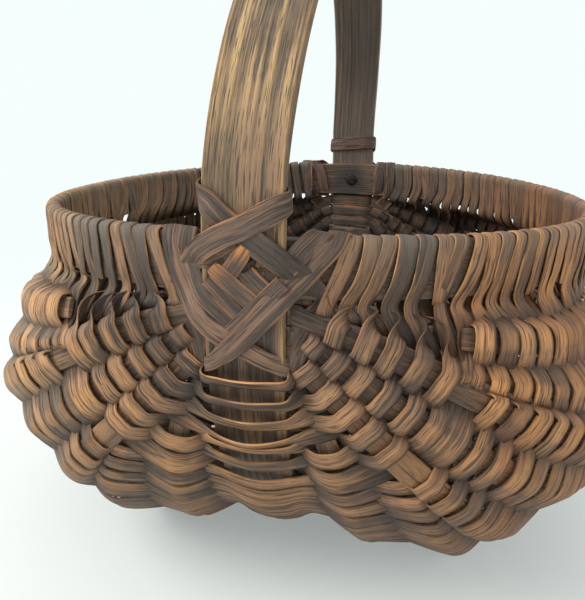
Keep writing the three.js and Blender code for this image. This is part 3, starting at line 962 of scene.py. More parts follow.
@dataclass(frozen=True)
class RibSize:
    """One rib.

    Attributes:
        beyond_rim: How far out its middle lies, counted from the rim's outer face.
        z: Height of its middle.
        start: x and z of its tips, beside the ears.
        fullness: Exponent of its swell sideways, less than 1 for a squarer bow.
        first_row: The first row that weaves it, or 0 if it starts at the ear.
        girth: Share of the full width.
        sink: Exponent of its swell downwards, more than 1 for one that sinks late.
        sink_flatness: How flat its bottom is.
    """

    beyond_rim: float
    z: float
    start: tuple[float, float]
    fullness: float
    first_row: int
    girth: float = 1.0
    sink: float = 0.95
    sink_flatness: float = 1.35


@dataclass
class Skeleton:
    """The hoops and ribs as curves, and the frame of directions on each of them.

    Members are numbered in the order in which a row crosses them: the right rim, the
    right side's ribs from the rim down, the spine, the left side's ribs and the left
    rim. The heart is a point inside the body, away from which every member faces.
    """

    ribs: tuple[RibSize, ...] = (
        RibSize(-5.0, -41.0, (22.0, -22.5), 0.94, 12, 0.85),
        RibSize(6.0, -63.0, (24.5, -28.5), 0.98, 11, 0.65),
        RibSize(12.0, -90.0, (24.5, -28.5), 0.95, 0, 1.0, 1.2),
        RibSize(2.0, -110.0, (22.5, -34.5), 0.95, 0, 1.0, 0.93),
        RibSize(-24.0, -137.0, (19.0, -42.0), 0.72, 0, 1.0, 0.67, 1.0),
        RibSize(-46.0, -162.8, (18.0, -46.0), 0.76, 12, 1.0, 1.06, 1.0),
        RibSize(-84.0, -160.0, (18.0, -50.0), 0.80, 7, 1.0, 1.08, 1.0),
    )
    rib_width: float = 11.0
    rib_thickness: float = 3.2
    rib_tip_width: float = 7.2
    rib_taper: float = 56.0
    points: int = 721
    heart_z: float = -55.0
    heart_share: float = 0.6
    members: list[Member] = field(init=False)

    def __post_init__(self) -> None:
        """Lists the seventeen members from the right rim to the left rim."""
        right = [self.rib_member(rib, 1.0) for rib in self.ribs]
        left = [self.rib_member(rib, -1.0) for rib in reversed(self.ribs)]
        self.members = [self.rim_member(1.0), *right, self.spine_member(), *left, self.rim_member(-1.0)]

    @property
    def last(self) -> int:
        """Number of the left rim."""
        return len(self.members) - 1

    @property
    def spine(self) -> int:
        """Number of the spine."""
        return self.last // 2

    @staticmethod
    def swell(sine: np.ndarray, fullness: float, flatness: float = SIZES.bottom_flatness) -> np.ndarray:
        """How far a bow has swelled out: 1 - (1 - sine^fullness)^flatness."""
        return 1.0 - (1.0 - np.clip(sine, 0.0, 1.0) ** fullness) ** flatness

    def bow(self, reach: float, start: tuple[float, float], middle: tuple[float, float],
            fullness: float, sink: float, sink_flatness: float) -> np.ndarray:
        """A bow from ear to ear that swells from its start to its middle.

        Args:
            reach: Distance of its tips from the basket's middle.
            start: x and z at the tips.
            middle: x and z half way.
            fullness: Exponent of its swell sideways.
            sink: Exponent of its swell downwards.
            sink_flatness: How flat its bottom is.

        Returns:
            Its points.
        """
        angle = math.pi * eased(self.points)
        sine = np.clip(np.sin(angle), 0.0, 1.0)
        x = start[0] + (middle[0] - start[0]) * self.swell(sine, fullness)
        z = start[1] + (middle[1] - start[1]) * self.swell(sine, sink, sink_flatness)
        return np.column_stack([x, -reach * np.cos(angle), z])

    @staticmethod
    def rim_curve(angle: np.ndarray, side: float) -> np.ndarray:
        """The rim's middle: a circle from the front ear, which dips by the square of the
        sine."""
        sine = np.sin(angle)
        dip = SIZES.ear_z - SIZES.rim_dip * sine**2
        return np.column_stack([side * SIZES.rim_centre * sine, -SIZES.rim_centre * np.cos(angle), dip])

    def rim_member(self, side: float) -> Member:
        """Half of the rim, on the right side (1) or the left (-1)."""
        curve = self.rim_curve(math.pi * eased(self.points), side)
        return Member(curve, SIZES.rim_height, SIZES.rim_thickness / 2)

    def rib_member(self, rib: RibSize, side: float) -> Member:
        """One rib on one side.

        Args:
            rib: Its size.
            side: 1 on the right and -1 on the left.

        Returns:
            The rib, whose lead is its tip's distance from the middle of the ear.
        """
        x, z = rib.start
        middle = (side * (SIZES.rim_radius + rib.beyond_rim), rib.z)
        reach = SIZES.rim_radius - SIZES.rib_inset
        curve = self.bow(reach, (side * x, z), middle, rib.fullness, rib.sink, rib.sink_flatness)
        lead = math.hypot(x, z - SIZES.ear_z)
        return Member(curve, self.rib_width * rib.girth, self.rib_thickness / 2, lead, rib.first_row)

    def spine_member(self) -> Member:
        """The lower half of the handle hoop, as a bow from the middles of both ears."""
        middle = (0.0, -SIZES.spine_depth + SIZES.handle_thickness / 2)
        start = (0.0, SIZES.ear_z)
        curve = self.bow(SIZES.handle_reach, start, middle, SIZES.spine_fullness, SIZES.spine_sink, 1.0)
        return Member(curve, SIZES.handle_width, SIZES.handle_thickness / 2)

    def directions(self, index: int, u: np.ndarray) -> tuple[np.ndarray, np.ndarray, np.ndarray]:
        """Frame of a member: towards the back ear, outwards, and the way a row runs.

        A rib faces square to the line between its neighbours. The rim faces level and
        outwards, and the spine faces square to its own curve.

        Args:
            index: Number of the member.
            u: Shares along it.

        Returns:
            Unit vectors along, outward and rowwise (from the right rim to the left).
        """
        member = self.members[index]
        at, along = member.at(u), member.along(u)
        before = self.members[max(index - 1, 0)].at(u)
        after = self.members[min(index + 1, self.last)].at(u)
        if index in (0, self.last):
            outward = np.column_stack([at[:, 0], at[:, 1], np.zeros(len(at))])
        elif index == self.spine:
            outward = np.column_stack([np.zeros(len(at)), along[:, 2], -along[:, 1]])
        else:
            outward = np.cross(after - before, along)
        heart = at * [0.0, self.heart_share, 0.0] + UP * self.heart_z
        sign = np.where(dots(outward, at - heart) < 0, -1.0, 1.0)
        outward = unit(outward * sign[:, None])
        rowwise = unit(np.cross(along, outward))
        back = np.where(dots(rowwise, after - before) < 0, -1.0, 1.0)
        return along, outward, rowwise * back[:, None]


# The hoops and ribs as pieces

@dataclass
class Hoops:
    """The two bent hoops: the level rim, and the handle with the spine."""

    skeleton: Skeleton
    handle_rings: int = 300
    rim_rings: int = 460
    closer_at_ears: float = 0.18
    lean_curve: float = 1.2
    width_drift: float = 0.35
    thickness_drift: float = 0.05
    rim_drift: float = 0.2
    crowning: float = 0.25
    polish: float = 0.85

    def arch(self) -> np.ndarray:
        """Middle of the handle above the ears, from the back ear to the front ear.

        y = reach * cos a and z = ear + rise * sin(a)^fullness. The arch leans to the
        right by a power of its height, and its points are closer together at the ears.

        Returns:
            The points.
        """
        even = np.linspace(0.0, math.pi, self.handle_rings)[1:-1]
        angle = even - self.closer_at_ears * np.sin(2.0 * even)
        rise = SIZES.handle_rise - SIZES.ear_z - SIZES.handle_thickness / 2
        z = SIZES.ear_z + rise * np.sin(angle) ** SIZES.handle_fullness
        share = (z - SIZES.handle_lean_from) / (SIZES.handle_rise - SIZES.handle_lean_from)
        x = SIZES.handle_lean * np.maximum(share, 0.0) ** self.lean_curve
        return np.column_stack([x, SIZES.handle_reach * np.cos(angle), z])

    def handle(self, rng: np.random.Generator) -> Surface:
        """The handle hoop: a closed band along the spine and the arch.

        Its width and its thickness drift as a split's do, by nothing where the hoop
        meets itself.

        Args:
            rng: Source of the drift.

        Returns:
            The surface.
        """
        spine = self.skeleton.members[self.skeleton.spine]
        under = spine.at(np.linspace(0.0, 1.0, self.handle_rings))
        centres = np.vstack([under, self.arch()])
        flow = unit(np.roll(centres, -1, axis=0) - np.roll(centres, 1, axis=0))
        outward = unit(np.column_stack([np.zeros(len(flow)), -flow[:, 2], flow[:, 1]]))
        across = np.tile([1.0, 0.0, 0.0], (len(flow), 1))
        along = travelled(centres)
        fade = np.sin(math.pi * np.linspace(0.0, 1.0, len(along))) ** 0.3
        width = SIZES.handle_width + self.width_drift * waver(rng, along, 140.0) * fade
        drift = self.thickness_drift * waver(rng, along, 90.0) * fade
        thickness = SIZES.handle_thickness * (1.0 + drift)
        section = flat_section(0.045, (0.85, 0.6, 0.2))
        return sweep(centres, across, outward, width, thickness, section, True,
                     cup=self.crowning, rubbed=self.polish, seed=3.7)

    def rim(self, rng: np.random.Generator) -> Surface:
        """The rim hoop: a closed upright band.

        Args:
            rng: Source of the drift of its width.

        Returns:
            The surface.
        """
        turn = full_turn(self.rim_rings)
        centres = self.skeleton.rim_curve(turn, 1.0)
        outward = centres * [1.0, 1.0, 0.0] / SIZES.rim_centre
        upward = np.tile(UP, (len(turn), 1))
        width = SIZES.rim_height + self.rim_drift * np.sin(turn * 9.0 + rng.uniform(0.0, 6.0))
        return sweep(centres, upward, outward, width, SIZES.rim_thickness, flat_section(0.06), True,
                     height=0.6, seed=9.1)

    def add(self, finishes: dict[Oak, bpy.types.Material], rng: np.random.Generator) -> None:
        """Adds both hoops to the scene."""
        add_piece("handle_and_spine", self.handle(rng), "handle_oak", finishes[Oak.HANDLE], ["handle_hoop"])
        add_piece("rim_band", self.rim(rng), "rim_oak", finishes[Oak.RIM], ["rim_hoop"])


@dataclass
class Ribs:
    """The fourteen tapered ribs. Those that start at the ear have their tips tucked in
    beside the spine, and the others start between two rows."""

    skeleton: Skeleton
    weave: "Weave"
    rings: int = 180
    sides: int = 14
    beside_spine: float = 13.9
    tuck_up: float = 3.7
    tuck_rings: int = 4
    tip_thickness: float = 0.55
    width_drift: float = 0.05
    squareness: tuple[float, float] = (0.85, 0.7)

    def tucked(self, centres: np.ndarray) -> np.ndarray:
        """A rib's middle line with a straight stretch at each end, up to the spine.

        Args:
            centres: Points of the rib.

        Returns:
            The points with those of both stretches.
        """
        share = (np.arange(self.tuck_rings) / self.tuck_rings)[:, None]
        front, back = (np.array([math.copysign(self.beside_spine, end[0]), end[1], end[2] + self.tuck_up])
                       for end in (centres[0], centres[-1]))
        into = front + (centres[0] - front) * share
        out_of = centres[-1] + (back - centres[-1]) * (share + 1.0 / self.tuck_rings)
        return np.vstack([into, centres, out_of])

    def rib(self, index: int, rng: np.random.Generator) -> Surface:
        """One rib: an oval section that grows from both tips by a square root.

        Args:
            index: Number of its member.
            rng: Source of the drift of its width.

        Returns:
            The surface.
        """
        member = self.skeleton.members[index]
        first = member.first_row
        tip = self.weave.share(index, first - 0.5) if first else member.tip
        u = tip + (1.0 - 2.0 * tip) * eased(self.rings)
        _, outward, rowwise = self.skeleton.directions(index, u)
        centres, grown = member.at(u), self.width_share(member, u, tip)
        if not first:
            centres = self.tucked(centres)
            more = self.tuck_rings
            outward, rowwise, grown = (np.concatenate([v[:1].repeat(more, 0), v, v[-1:].repeat(more, 0)])
                                       for v in (outward, rowwise, grown))
        narrow = self.skeleton.rib_tip_width
        drift = self.width_drift * waver(rng, travelled(centres), 70.0)
        width = (narrow + (member.width - narrow) * grown) * (1.0 + drift)
        thickness = self.skeleton.rib_thickness * (self.tip_thickness + (1.0 - self.tip_thickness) * grown)
        turn = full_turn(self.sides) + math.pi / self.sides
        oval = np.column_stack([-np.cos(turn), -np.sin(turn)])
        section = np.sign(oval) * np.abs(oval) ** np.array(self.squareness)
        return sweep(centres, rowwise, outward, width, thickness, section, False,
                     height=0.5, seed=index * 1.7 + 20.0)

    def width_share(self, member: Member, u: np.ndarray, tip: float) -> np.ndarray:
        """Share of the full width at u: the square root of the way from the tip."""
        way = (np.minimum(u, 1.0 - u) - tip) * member.ear_to_ear
        return np.sqrt(np.clip(way / self.skeleton.rib_taper, 0.0, 1.0))

    def add(self, finishes: dict[Oak, bpy.types.Material], rng: np.random.Generator) -> None:
        """Adds the ribs to the scene, from the rim down and the right one of each pair
        first.

        Args:
            finishes: The oak finishes.
            rng: Source of the drift of their widths.
        """
        for number in range(1, self.skeleton.spine):
            for side, index in (("right", number), ("left", self.skeleton.last - number)):
                node = f"rib_{side}_{number}"
                add_piece(f"split_{node}", self.rib(index, rng), "rib_oak", finishes[Oak.RIB], [node])


# The weave

@dataclass(frozen=True)
class Lie:
    """How a strip lies at one of its keys."""

    tilt: float
    width: float
    cup: float = 0.0
    height: float = 0.5
    dust: float = 0.2


@dataclass(frozen=True)
class Arch:
    """A strip's way over or under one member: how far along the row each key lies, how
    far it rises from the member, and how the strip lies there."""

    offsets: np.ndarray
    rise: np.ndarray
    lies: list[Lie]


@dataclass(frozen=True)
class Turn:
    """A strip's turns round one rim between two rows: its first slot and its passes."""

    slot: float
    passes: int


# Columns of a strip's keys
PLACE, ACROSS, OUTWARD = slice(0, 3), slice(3, 6), slice(6, 9)
WIDTH, CUP, HEIGHT, DUST, SIDE = range(9, 14)


@dataclass
class Weave:
    """Flat weavers, row after row, over and under the members from rim to rim.

    A tilt is in degrees and lets the edge nearer to the ear stand out, or the other one
    if it is less than 0. A slot is the length of rim that one pass round it takes. Each
    name with stray is how far a draw scatters its value.

    Attributes:
        skeleton: The members that it crosses.
        rows_of_weavers: Rows that each weaver makes, from the front ear.
        first_slot: Share of the rim before the first slot.
        first_on_rim: Share u of the first row at the rim.
        first_on_spine: Share u of the first row at the spine.
        rows_by_ear: How fast, in rows, the first rows' greater tilt dies away.
        rows_to_swap: How fast, in rows, the nearer ear changes at the middle.
        full_tilt_room: Distance between crossings past which a strip tilts in full.
        turned_below: How far the tilt on the spine turns over underneath.
        roomy: Distance between members past which a strip rises in full and sags.
        tight: Least share of that rise.
        foot_out: Lift between the rim and the first rib, outside.
        foot_in: The same inside, where it is less than 0.
        foot_drop: How far below the rim a pass's foot goes on into the body.
        end_tuck: How far above the rim's lower edge a cut end stops.
        foot_pull: How far a pass's foot and the key above it are drawn to their row.
        extra_wraps: Chance that a turn goes round the rim twice.
        outer_lean: Least and most that a pass leans outside, in slots.
        inner_lean: Its lean inside.
        turn_width: Width of a pass, in slots.
    """

    skeleton: Skeleton
    rows_of_weavers: tuple[int, ...] = (9, 8, 9, 10, 9, 9, 10, 9, 8, 9)
    first_slot: float = 0.078
    first_on_rim: float = 0.062
    first_on_spine: float = 0.086
    width: float = 6.8
    width_drift: float = 0.08
    thickness: float = 0.75
    thickness_drift: float = 0.12
    gap: float = 0.2
    stand_clear: float = 0.4
    above_floor: float = 0.8
    steps: int = 5
    over_tilt: float = -8.0
    between_tilt: float = -7.0
    spine_tilt: float = 14.0
    first_spine_tilt: float = 26.0
    rows_by_ear: float = 6.0
    rows_to_swap: float = 4.0
    full_tilt_room: float = 8.0
    under_tilt: float = 6.0
    rim_tilt: float = 7.0
    turned_below: float = 2.7
    roomy: float = 12.0
    tight: float = 0.3
    slack_over: float = 0.07
    slack_between: float = 0.05
    stray_row: float = 0.07
    stray_rise: float = 0.3
    stray_tilt: float = 3.5
    foot_out: float = 1.2
    foot_in: float = -2.2
    foot_drop: float = 1.6
    end_tuck: float = 0.3
    foot_pull: tuple[float, float] = (0.55, 0.15)
    keel_drop: float = 0.9
    extra_wraps: float = 0.13
    outer_lean: tuple[float, float] = (0.2, 1.0)
    inner_lean: float = 0.45
    stray_slot: float = 0.06
    turn_width: float = 1.04
    stray_turn_width: float = 0.08
    most_turn_width: float = 1.14
    rng: np.random.Generator = field(default_factory=lambda: np.random.default_rng(41))
    turns: dict[int, Turn] = field(init=False)
    slots: dict[int, float] = field(init=False)

    def __post_init__(self) -> None:
        """Shares each rim's length out among the turns, one slot for each pass.

        A turn takes one pass or two. Where one weaver ends and the next begins there
        are two, one for each.
        """
        chance = np.random.default_rng(6).random(self.row_count)
        ends = set(np.cumsum(self.rows_of_weavers) - 1)
        taken = {0: 1.0, self.skeleton.last: 0.0}
        self.turns = {-1: Turn(0.0, 1)}
        for row in range(self.row_count):
            rim = self.rim_after(row)
            passes = 2 if row in ends or chance[row] < self.extra_wraps else 1
            if row == self.row_count - 1:
                passes = 1
            self.turns[row] = Turn(taken[rim], passes)
            taken[rim] += passes
        self.slots = taken

    @property
    def row_count(self) -> int:
        """Number of rows from ear to ear."""
        return sum(self.rows_of_weavers)

    def rim_after(self, row: int) -> int:
        """Number of the rim at which a row ends: even rows run to the left."""
        return self.skeleton.last if row % 2 == 0 else 0

    def share(self, index: int, row: float) -> float:
        """Share u of a row on a member. Rows begin nearer the ear on the rim.

        Args:
            index: Number of the member.
            row: Number of the row, or a place between two rows.

        Returns:
            The share.
        """
        spine = self.skeleton.last / 2
        away = 1.0 - abs(index - spine) / spine
        first = self.first_on_rim + (self.first_on_spine - self.first_on_rim) * away**2
        return first + row * (1.0 - 2.0 * first) / (self.row_count - 1)

    def slot_share(self, rim: int, slot: float) -> float:
        """Share u of a slot on a rim."""
        return self.first_slot + slot * (1.0 - 2.0 * self.first_slot) / self.slots[rim]

    def is_woven(self, index: int, row: int) -> bool:
        """True if a row crosses a member that has begun by then."""
        first = self.skeleton.members[index].first_row
        return first <= row < self.row_count - first

    def earward(self, row: float) -> float:
        """-1 in the front half and 1 in the back half, where the nearer ear lies."""
        return math.tanh((row - (self.row_count - 1) / 2) / self.rows_to_swap)

    def lean(self, outward: np.ndarray) -> float:
        """Share of a strip's tilt on the spine: 1 near the ears and less than 0
        underneath, where the edge nearer to the ear is tucked in."""
        return 1.0 - self.turned_below * float(smoothstep(0.25, 0.9, -outward[2]))

    def keys(self, at: np.ndarray, along: np.ndarray, outward: np.ndarray, side: float,
             lies: Sequence[Lie]) -> np.ndarray:
        """Rows of key values for a strip.

        The strip's width lies along the member, and a tilt lets the edge nearer to the
        ear stand out: across = along * cos(tilt) + outward * side * sin(tilt).
        No key lies below the floor, as the splint is worn where the basket stands.

        Args:
            at: Places.
            along: Directions along the member.
            outward: Outward directions.
            side: -1 to 1, the way to the nearer ear.
            lies: How the strip lies at each place.

        Returns:
            Place, across, outward, width, cup, height, dust and side for each key.
        """
        at = np.array(np.atleast_2d(at))
        turn = np.radians([lie.tilt for lie in lies])[:, None]
        edge = np.array([lie.width * 0.5 for lie in lies]) * np.abs(np.sin(turn[:, 0]) * side)
        at[:, 2] = np.maximum(at[:, 2], self.thickness / 2 + self.above_floor + edge - RIM_TOP / MM)
        outward = np.broadcast_to(outward, at.shape)
        across = along * np.cos(turn) + outward * side * np.sin(turn)
        rest = [(lie.width, lie.cup, lie.height, lie.dust, side) for lie in lies]
        return np.hstack([at, across, outward, np.array(rest)])

    def over_spine(self, half: float, tilt: float, slack: float) -> Arch:
        """A long low arch clear of the spine, narrow and most tilted at its top.

        Args:
            half: Half of the spine's width.
            tilt: Tilt at the top.
            slack: How much higher than usual it rises, as a share.

        Returns:
            The arch.
        """
        offsets = half * np.array([-1.08, -0.55, 0.0, 0.55, 1.08])
        rise = np.array([0.0, 0.8, 1.2, 0.8, 0.0]) * (1.0 + slack)
        foot, flank, top = ((0.6, 0.84), (0.95, 0.8), (1.0, 0.78))
        lies = [Lie(tilt * tilted, self.width * wide, 0.15, 0.9)
                for tilted, wide in (foot, flank, top, flank, foot)]
        return Arch(offsets, rise, lies)

    def under_spine(self, half: float) -> Arch:
        """Close beneath the spine, for a given half of its width."""
        lie = Lie(self.under_tilt, self.width * 0.86, 0.0, 0.3)
        return Arch(half * np.array([-1.0, 0.0, 1.0]), np.array([0.0, 0.3, 0.0]), [lie] * 3)

    def over_rib(self, half: float, tilt: float, rise: float) -> Arch:
        """A short arch over a rib.

        Args:
            half: Half of the width that it takes to rise and fall.
            tilt: Tilt of the strip.
            rise: How high its top rises.

        Returns:
            The arch.
        """
        foot = Lie(tilt, self.width * 0.95, 0.2, 0.85)
        top = Lie(tilt, self.width * 0.93, 0.25, 1.0)
        return Arch(half * np.array([-0.8, 0.0, 0.8]), rise * np.array([0.5, 1.0, 0.5]), [foot, top, foot])

    def under_rib(self, half: float) -> Arch:
        """Flat beneath a rib, for a given half of the width that it takes."""
        lie = Lie(self.under_tilt, self.width * 0.88, 0.0, 0.06)
        return Arch(half * np.array([-0.5, 0.5]), np.zeros(2), [lie] * 2)

    def crossing(self, index: int, row: int, over: bool, room: float) -> np.ndarray:
        """Keys of one crossing of a rib or the spine, in the order right to left.

        Over a rib the strip rises in a low arch, higher where its neighbours are far
        off. Over the spine it swings clear in a long one, and under either it lies
        close.

        Args:
            index: Number of the member.
            row: Number of the row.
            over: True on the outside.
            room: Distance to the nearer of the members crossed before and after.

        Returns:
            The keys.
        """
        member = self.skeleton.members[index]
        u = np.array([self.share(index, row + self.rng.normal(0.0, self.stray_row))])
        along, outward, rowwise = (v[0] for v in self.skeleton.directions(index, u))
        side = self.earward(row)
        slack = abs(self.rng.normal(0.0, self.stray_rise)) + self.slack_over * max(room - self.roomy, 0.0)
        twist = self.rng.normal(0.0, self.stray_tilt)
        half = member.width / 2
        ease = min(max(room / self.roomy, self.tight), 1.0)
        if index == self.skeleton.spine and over:
            near_ear = math.exp(-min(row, self.row_count - 1 - row) / self.rows_by_ear)
            tilt = self.lean(outward) * (self.spine_tilt + self.first_spine_tilt * near_ear)
            arch = self.over_spine(half, tilt + 2.0 * twist, slack)
        elif index == self.skeleton.spine:
            arch = self.under_spine(half)
        elif over:
            arch = self.over_rib(half * ease, self.over_tilt + twist, 0.8 * ease + slack)
        else:
            arch = self.under_rib(half * ease)
        near = member.half_thickness + self.gap + self.thickness / 2
        tilted = np.abs(np.sin(np.radians([lie.tilt for lie in arch.lies]) * side))
        stand = tilted * [lie.width * self.stand_clear for lie in arch.lies]
        lift = (near + arch.rise + stand) * (1.0 if over else -1.0)
        places = member.at(u)[0] + outward * lift[:, None] + rowwise * arch.offsets[:, None]
        return self.keys(places, along, outward, side, arch.lies)

    def between(self, before: np.ndarray, after: np.ndarray, squeeze: float = 0.98,
                lift: float = 0.0) -> np.ndarray:
        """Key half way between two crossings, where the strip is squeezed and tilted.

        Args:
            before: Key before it.
            after: Key after it.
            squeeze: Share of the strip's width.
            lift: How far it lies outwards of the straight line.

        Returns:
            The key, as one row.
        """
        at = (before[PLACE] + after[PLACE]) / 2
        outward = unit(before[OUTWARD] + after[OUTWARD])
        along = square_to(outward, unit(before[ACROSS] + after[ACROSS]))
        room = float(np.linalg.norm(after[PLACE] - before[PLACE]))
        if max(before[HEIGHT], after[HEIGHT]) > 0.7:
            at = at + outward * self.slack_between * max(room - self.roomy, 0.0)
        at = at + outward * lift
        tilt = self.between_tilt * min(room / self.full_tilt_room, 1.0)
        lie = Lie(tilt, self.width * squeeze, 0.08, 0.22)
        return self.keys(at, along, outward, float(after[SIDE]), [lie])

    def body_row(self, row: int) -> np.ndarray:
        """Keys of one row from the right rim to the left, without the rims.

        Args:
            row: Number of the row.

        Returns:
            The keys.
        """
        crossed = [i for i in range(len(self.skeleton.members)) if self.is_woven(i, row)]
        places = np.array([self.skeleton.members[i].at(self.share(i, row)) for i in crossed])
        leaps = np.linalg.norm(np.diff(places, axis=0), axis=1)
        parts: list[np.ndarray] = []
        for order in range(1, len(crossed) - 1):
            room = float(min(leaps[order - 1], leaps[order]))
            keys = self.crossing(crossed[order], row, (row + order) % 2 == 0, room)
            if parts:
                parts.append(self.between(parts[-1][-1], keys[0]))
            parts.append(keys)
        return np.vstack(parts)

    def rim_pass(self, rim: int, slot: float, row: int, from_body: bool, to_body: bool) -> np.ndarray:
        """Keys up one face of the rim, over its top and down the other face.

        At the left rim the strip comes up outside, at the right rim it comes up inside.
        The outer half leans, with its foot nearer to the ear, and a foot that goes on
        into the body narrows and is drawn towards its row.

        Args:
            rim: Number of the rim's member.
            slot: The slot that the pass takes.
            row: Number of the row that it ends or begins.
            from_body: True if it comes from the ribs.
            to_body: True if it goes on to the ribs.

        Returns:
            The keys.
        """
        member = self.skeleton.members[rim]
        up_face = 1.0 if rim else -1.0
        side = self.earward(row)
        reach = SIZES.rim_thickness / 2 + self.gap + self.thickness / 2
        top = SIZES.rim_height / 2 + self.gap + self.thickness / 2
        start, end = (-top - self.foot_drop if body else -top + self.end_tuck
                      for body in (from_body, to_body))
        climb = np.array([-0.4 * top, 0.3 * top, top - 0.9])
        heights = np.concatenate([[start], climb, [top + 0.15], climb[::-1], [end]])
        clear = np.array([1.0, 1.15, 1.12, 0.95])
        faces = np.concatenate([clear, [0.0], -clear[::-1]]) * up_face
        pitch = self.slot_share(rim, 1.0) - self.slot_share(rim, 0.0)
        down = (top - heights) / (2 * top)
        lean = side * self.rng.uniform(*self.outer_lean)
        shift = np.where(faces > 0, lean * down, np.sign(-up_face * faces) * self.inner_lean * down)
        u = self.slot_share(rim, slot + 0.5) + pitch * (shift + self.rng.normal(0.0, self.stray_slot))
        wide = pitch * member.length
        wide = wide * min(self.rng.normal(self.turn_width, self.stray_turn_width), self.most_turn_width)
        narrowing = np.array([0.74, 0.86, 0.98, 1.0])
        share = np.concatenate([narrowing, [1.0], narrowing[::-1]])
        goal = self.share(rim, row)
        if from_body:
            u[:2] += (goal - u[:2]) * np.array(self.foot_pull)
            share[:2] = (0.84, 0.9)
        if to_body:
            u[-2:] += (goal - u[-2:]) * np.array(self.foot_pull[::-1])
            share[-2:] = (0.9, 0.84)
        along, outward, _ = self.skeleton.directions(rim, u)
        places = member.at(u) + outward * (faces * reach)[:, None] + UP * heights[:, None]
        away = unit(outward * faces[:, None] + UP * smoothstep(0.7 * top, top, heights)[:, None])
        height = np.where(faces > 0.5, 0.8, 0.5) + 0.3 * (np.abs(faces) < 0.5)
        dust = 0.25 + 0.75 * smoothstep(-0.2 * top, top, heights)
        lies = [Lie(self.rim_tilt, wide * s, 0.2, h, d) for s, h, d in zip(share, height, dust)]
        return self.keys(places, along, away, side, lies)

    def foot(self, outside: bool) -> float:
        """Lift of a strip between the rim and the first rib: clear of those that cross it."""
        return self.foot_out if outside else self.foot_in

    def keel(self, before: np.ndarray, after: np.ndarray) -> np.ndarray:
        """Key below the rim between two passes.

        Args:
            before: Last key of the first pass.
            after: First key of the second pass.

        Returns:
            The key, as one row.
        """
        at = (before[PLACE] + after[PLACE]) / 2 - UP * self.keel_drop
        along = unit(before[ACROSS] + after[ACROSS])
        return self.keys(at, along, -UP, 0.0, [Lie(0.0, self.width * 0.8, 0.0, 0.2)])

    def turn(self, row: int, from_body: bool, to_body: bool) -> list[np.ndarray]:
        """Keys of the passes between a row and the next.

        Args:
            row: The row that has ended, or -1 before the first.
            from_body: True if this weaver has come from that row.
            to_body: True if this weaver goes on to the next row.

        Returns:
            The keys of each pass and of the keels between them.
        """
        rim = self.rim_after(row)
        turn = self.turns[row]
        numbers = range(turn.passes)
        if not to_body and turn.passes > 1:
            numbers = range(turn.passes - 1)
        if not from_body and turn.passes > 1:
            numbers = range(1, turn.passes)
        parts: list[np.ndarray] = []
        for number in numbers:
            starts = from_body and number == numbers[0]
            ends = to_body and number == numbers[-1]
            made = self.rim_pass(rim, turn.slot + number, row if starts else row + 1, starts, ends)
            if parts:
                parts.append(self.keel(parts[-1][-1], made[0]))
            parts.append(made)
        return parts

    def strip(self, first: int, last: int) -> np.ndarray:
        """Keys of one weaver from its first row to its last.

        Even rows run from the right rim to the left and odd rows run back.

        Args:
            first: Number of its first row.
            last: Number of its last row.

        Returns:
            The keys.
        """
        parts = self.turn(first - 1, False, True)
        for row in range(first, last + 1):
            body = self.body_row(row)
            if row % 2:
                body = body[::-1]
            turn = self.turn(row, True, row < last)
            parts.append(self.between(parts[-1][-1], body[0], 1.0, self.foot(self.rim_after(row - 1) == 0)))
            parts.append(body)
            parts.append(self.between(body[-1], turn[0][0], 1.0, self.foot(self.rim_after(row) > 0)))
            parts.extend(turn)
        return np.vstack(parts)

    def weaver(self, first: int, last: int, seed: float) -> Surface:
        """One weaver as a thin strip that wavers in width.

        Args:
            first: Number of its first row.
            last: Number of its last row.
            seed: Number that tells its grain from another's.

        Returns:
            The surface.
        """
        path = smooth_through(self.strip(first, last), self.steps)
        centres = path[:, PLACE]
        flow = unit(np.gradient(centres, axis=0))
        across = square_to(flow, path[:, ACROSS])
        facing = unit(np.cross(flow, across))
        outside = np.sign(dots(facing, path[:, OUTWARD]))
        along = travelled(centres)
        width = path[:, WIDTH] * (1.0 + self.width_drift * waver(self.rng, along, 160.0))
        thickness = self.thickness * (1.0 + self.thickness_drift * waver(self.rng, along, 60.0))
        return sweep(
            centres, across, facing, width, thickness, flat_section(0.06), False,
            cup=path[:, CUP] * outside, height=path[:, HEIGHT], dust=path[:, DUST], bright=path[:, SIDE],
            seed=seed,
        )

    def add(self, finishes: dict[Oak, bpy.types.Material]) -> None:
        """Adds the weavers to the scene, from the front ear to the back ear.

        Args:
            finishes: The oak finishes.
        """
        slots = ("weaver_brown", "weaver_tan", "weaver_dark", "weaver_mid")
        first = 0
        for number, rows in enumerate(self.rows_of_weavers, start=1):
            surface = self.weaver(first, first + rows - 1, number * 2.3 + 50.0)
            slot = slots[(number - 1) % len(slots)]
            name = f"splint_weaver_{number:02d}"
            add_piece(name, surface, slot, finishes[Oak.SPLINT], [f"weaver_{number:02d}"])
            first += rows

# The ears

class Ear(Enum):
    """The two ears, with the sign of y at each."""

    FRONT = -1.0
    BACK = 1.0


class Face(Enum):
    """Which way a lashing's face points: to the right, up and out of the ear's plane."""

    OUT = (0.0, 0.0, 1.0)
    IN = (0.0, 0.0, -1.0)
    LEFT = (-1.0, 0.0, 0.0)
    RIGHT = (1.0, 0.0, 0.0)
    TOP = (0.0, 1.0, 0.0)
    BOTTOM = (0.0, -1.0, 0.0)


@dataclass(frozen=True)
class Wind:
    """One place on a lashing's way round the cross.

    x runs to the right and z upwards from the middle of the cross, as one sees it from
    outside, and level counts from the hoops' outer face.
    """

    x: float
    z: float
    level: float
    face: Face
    width: float


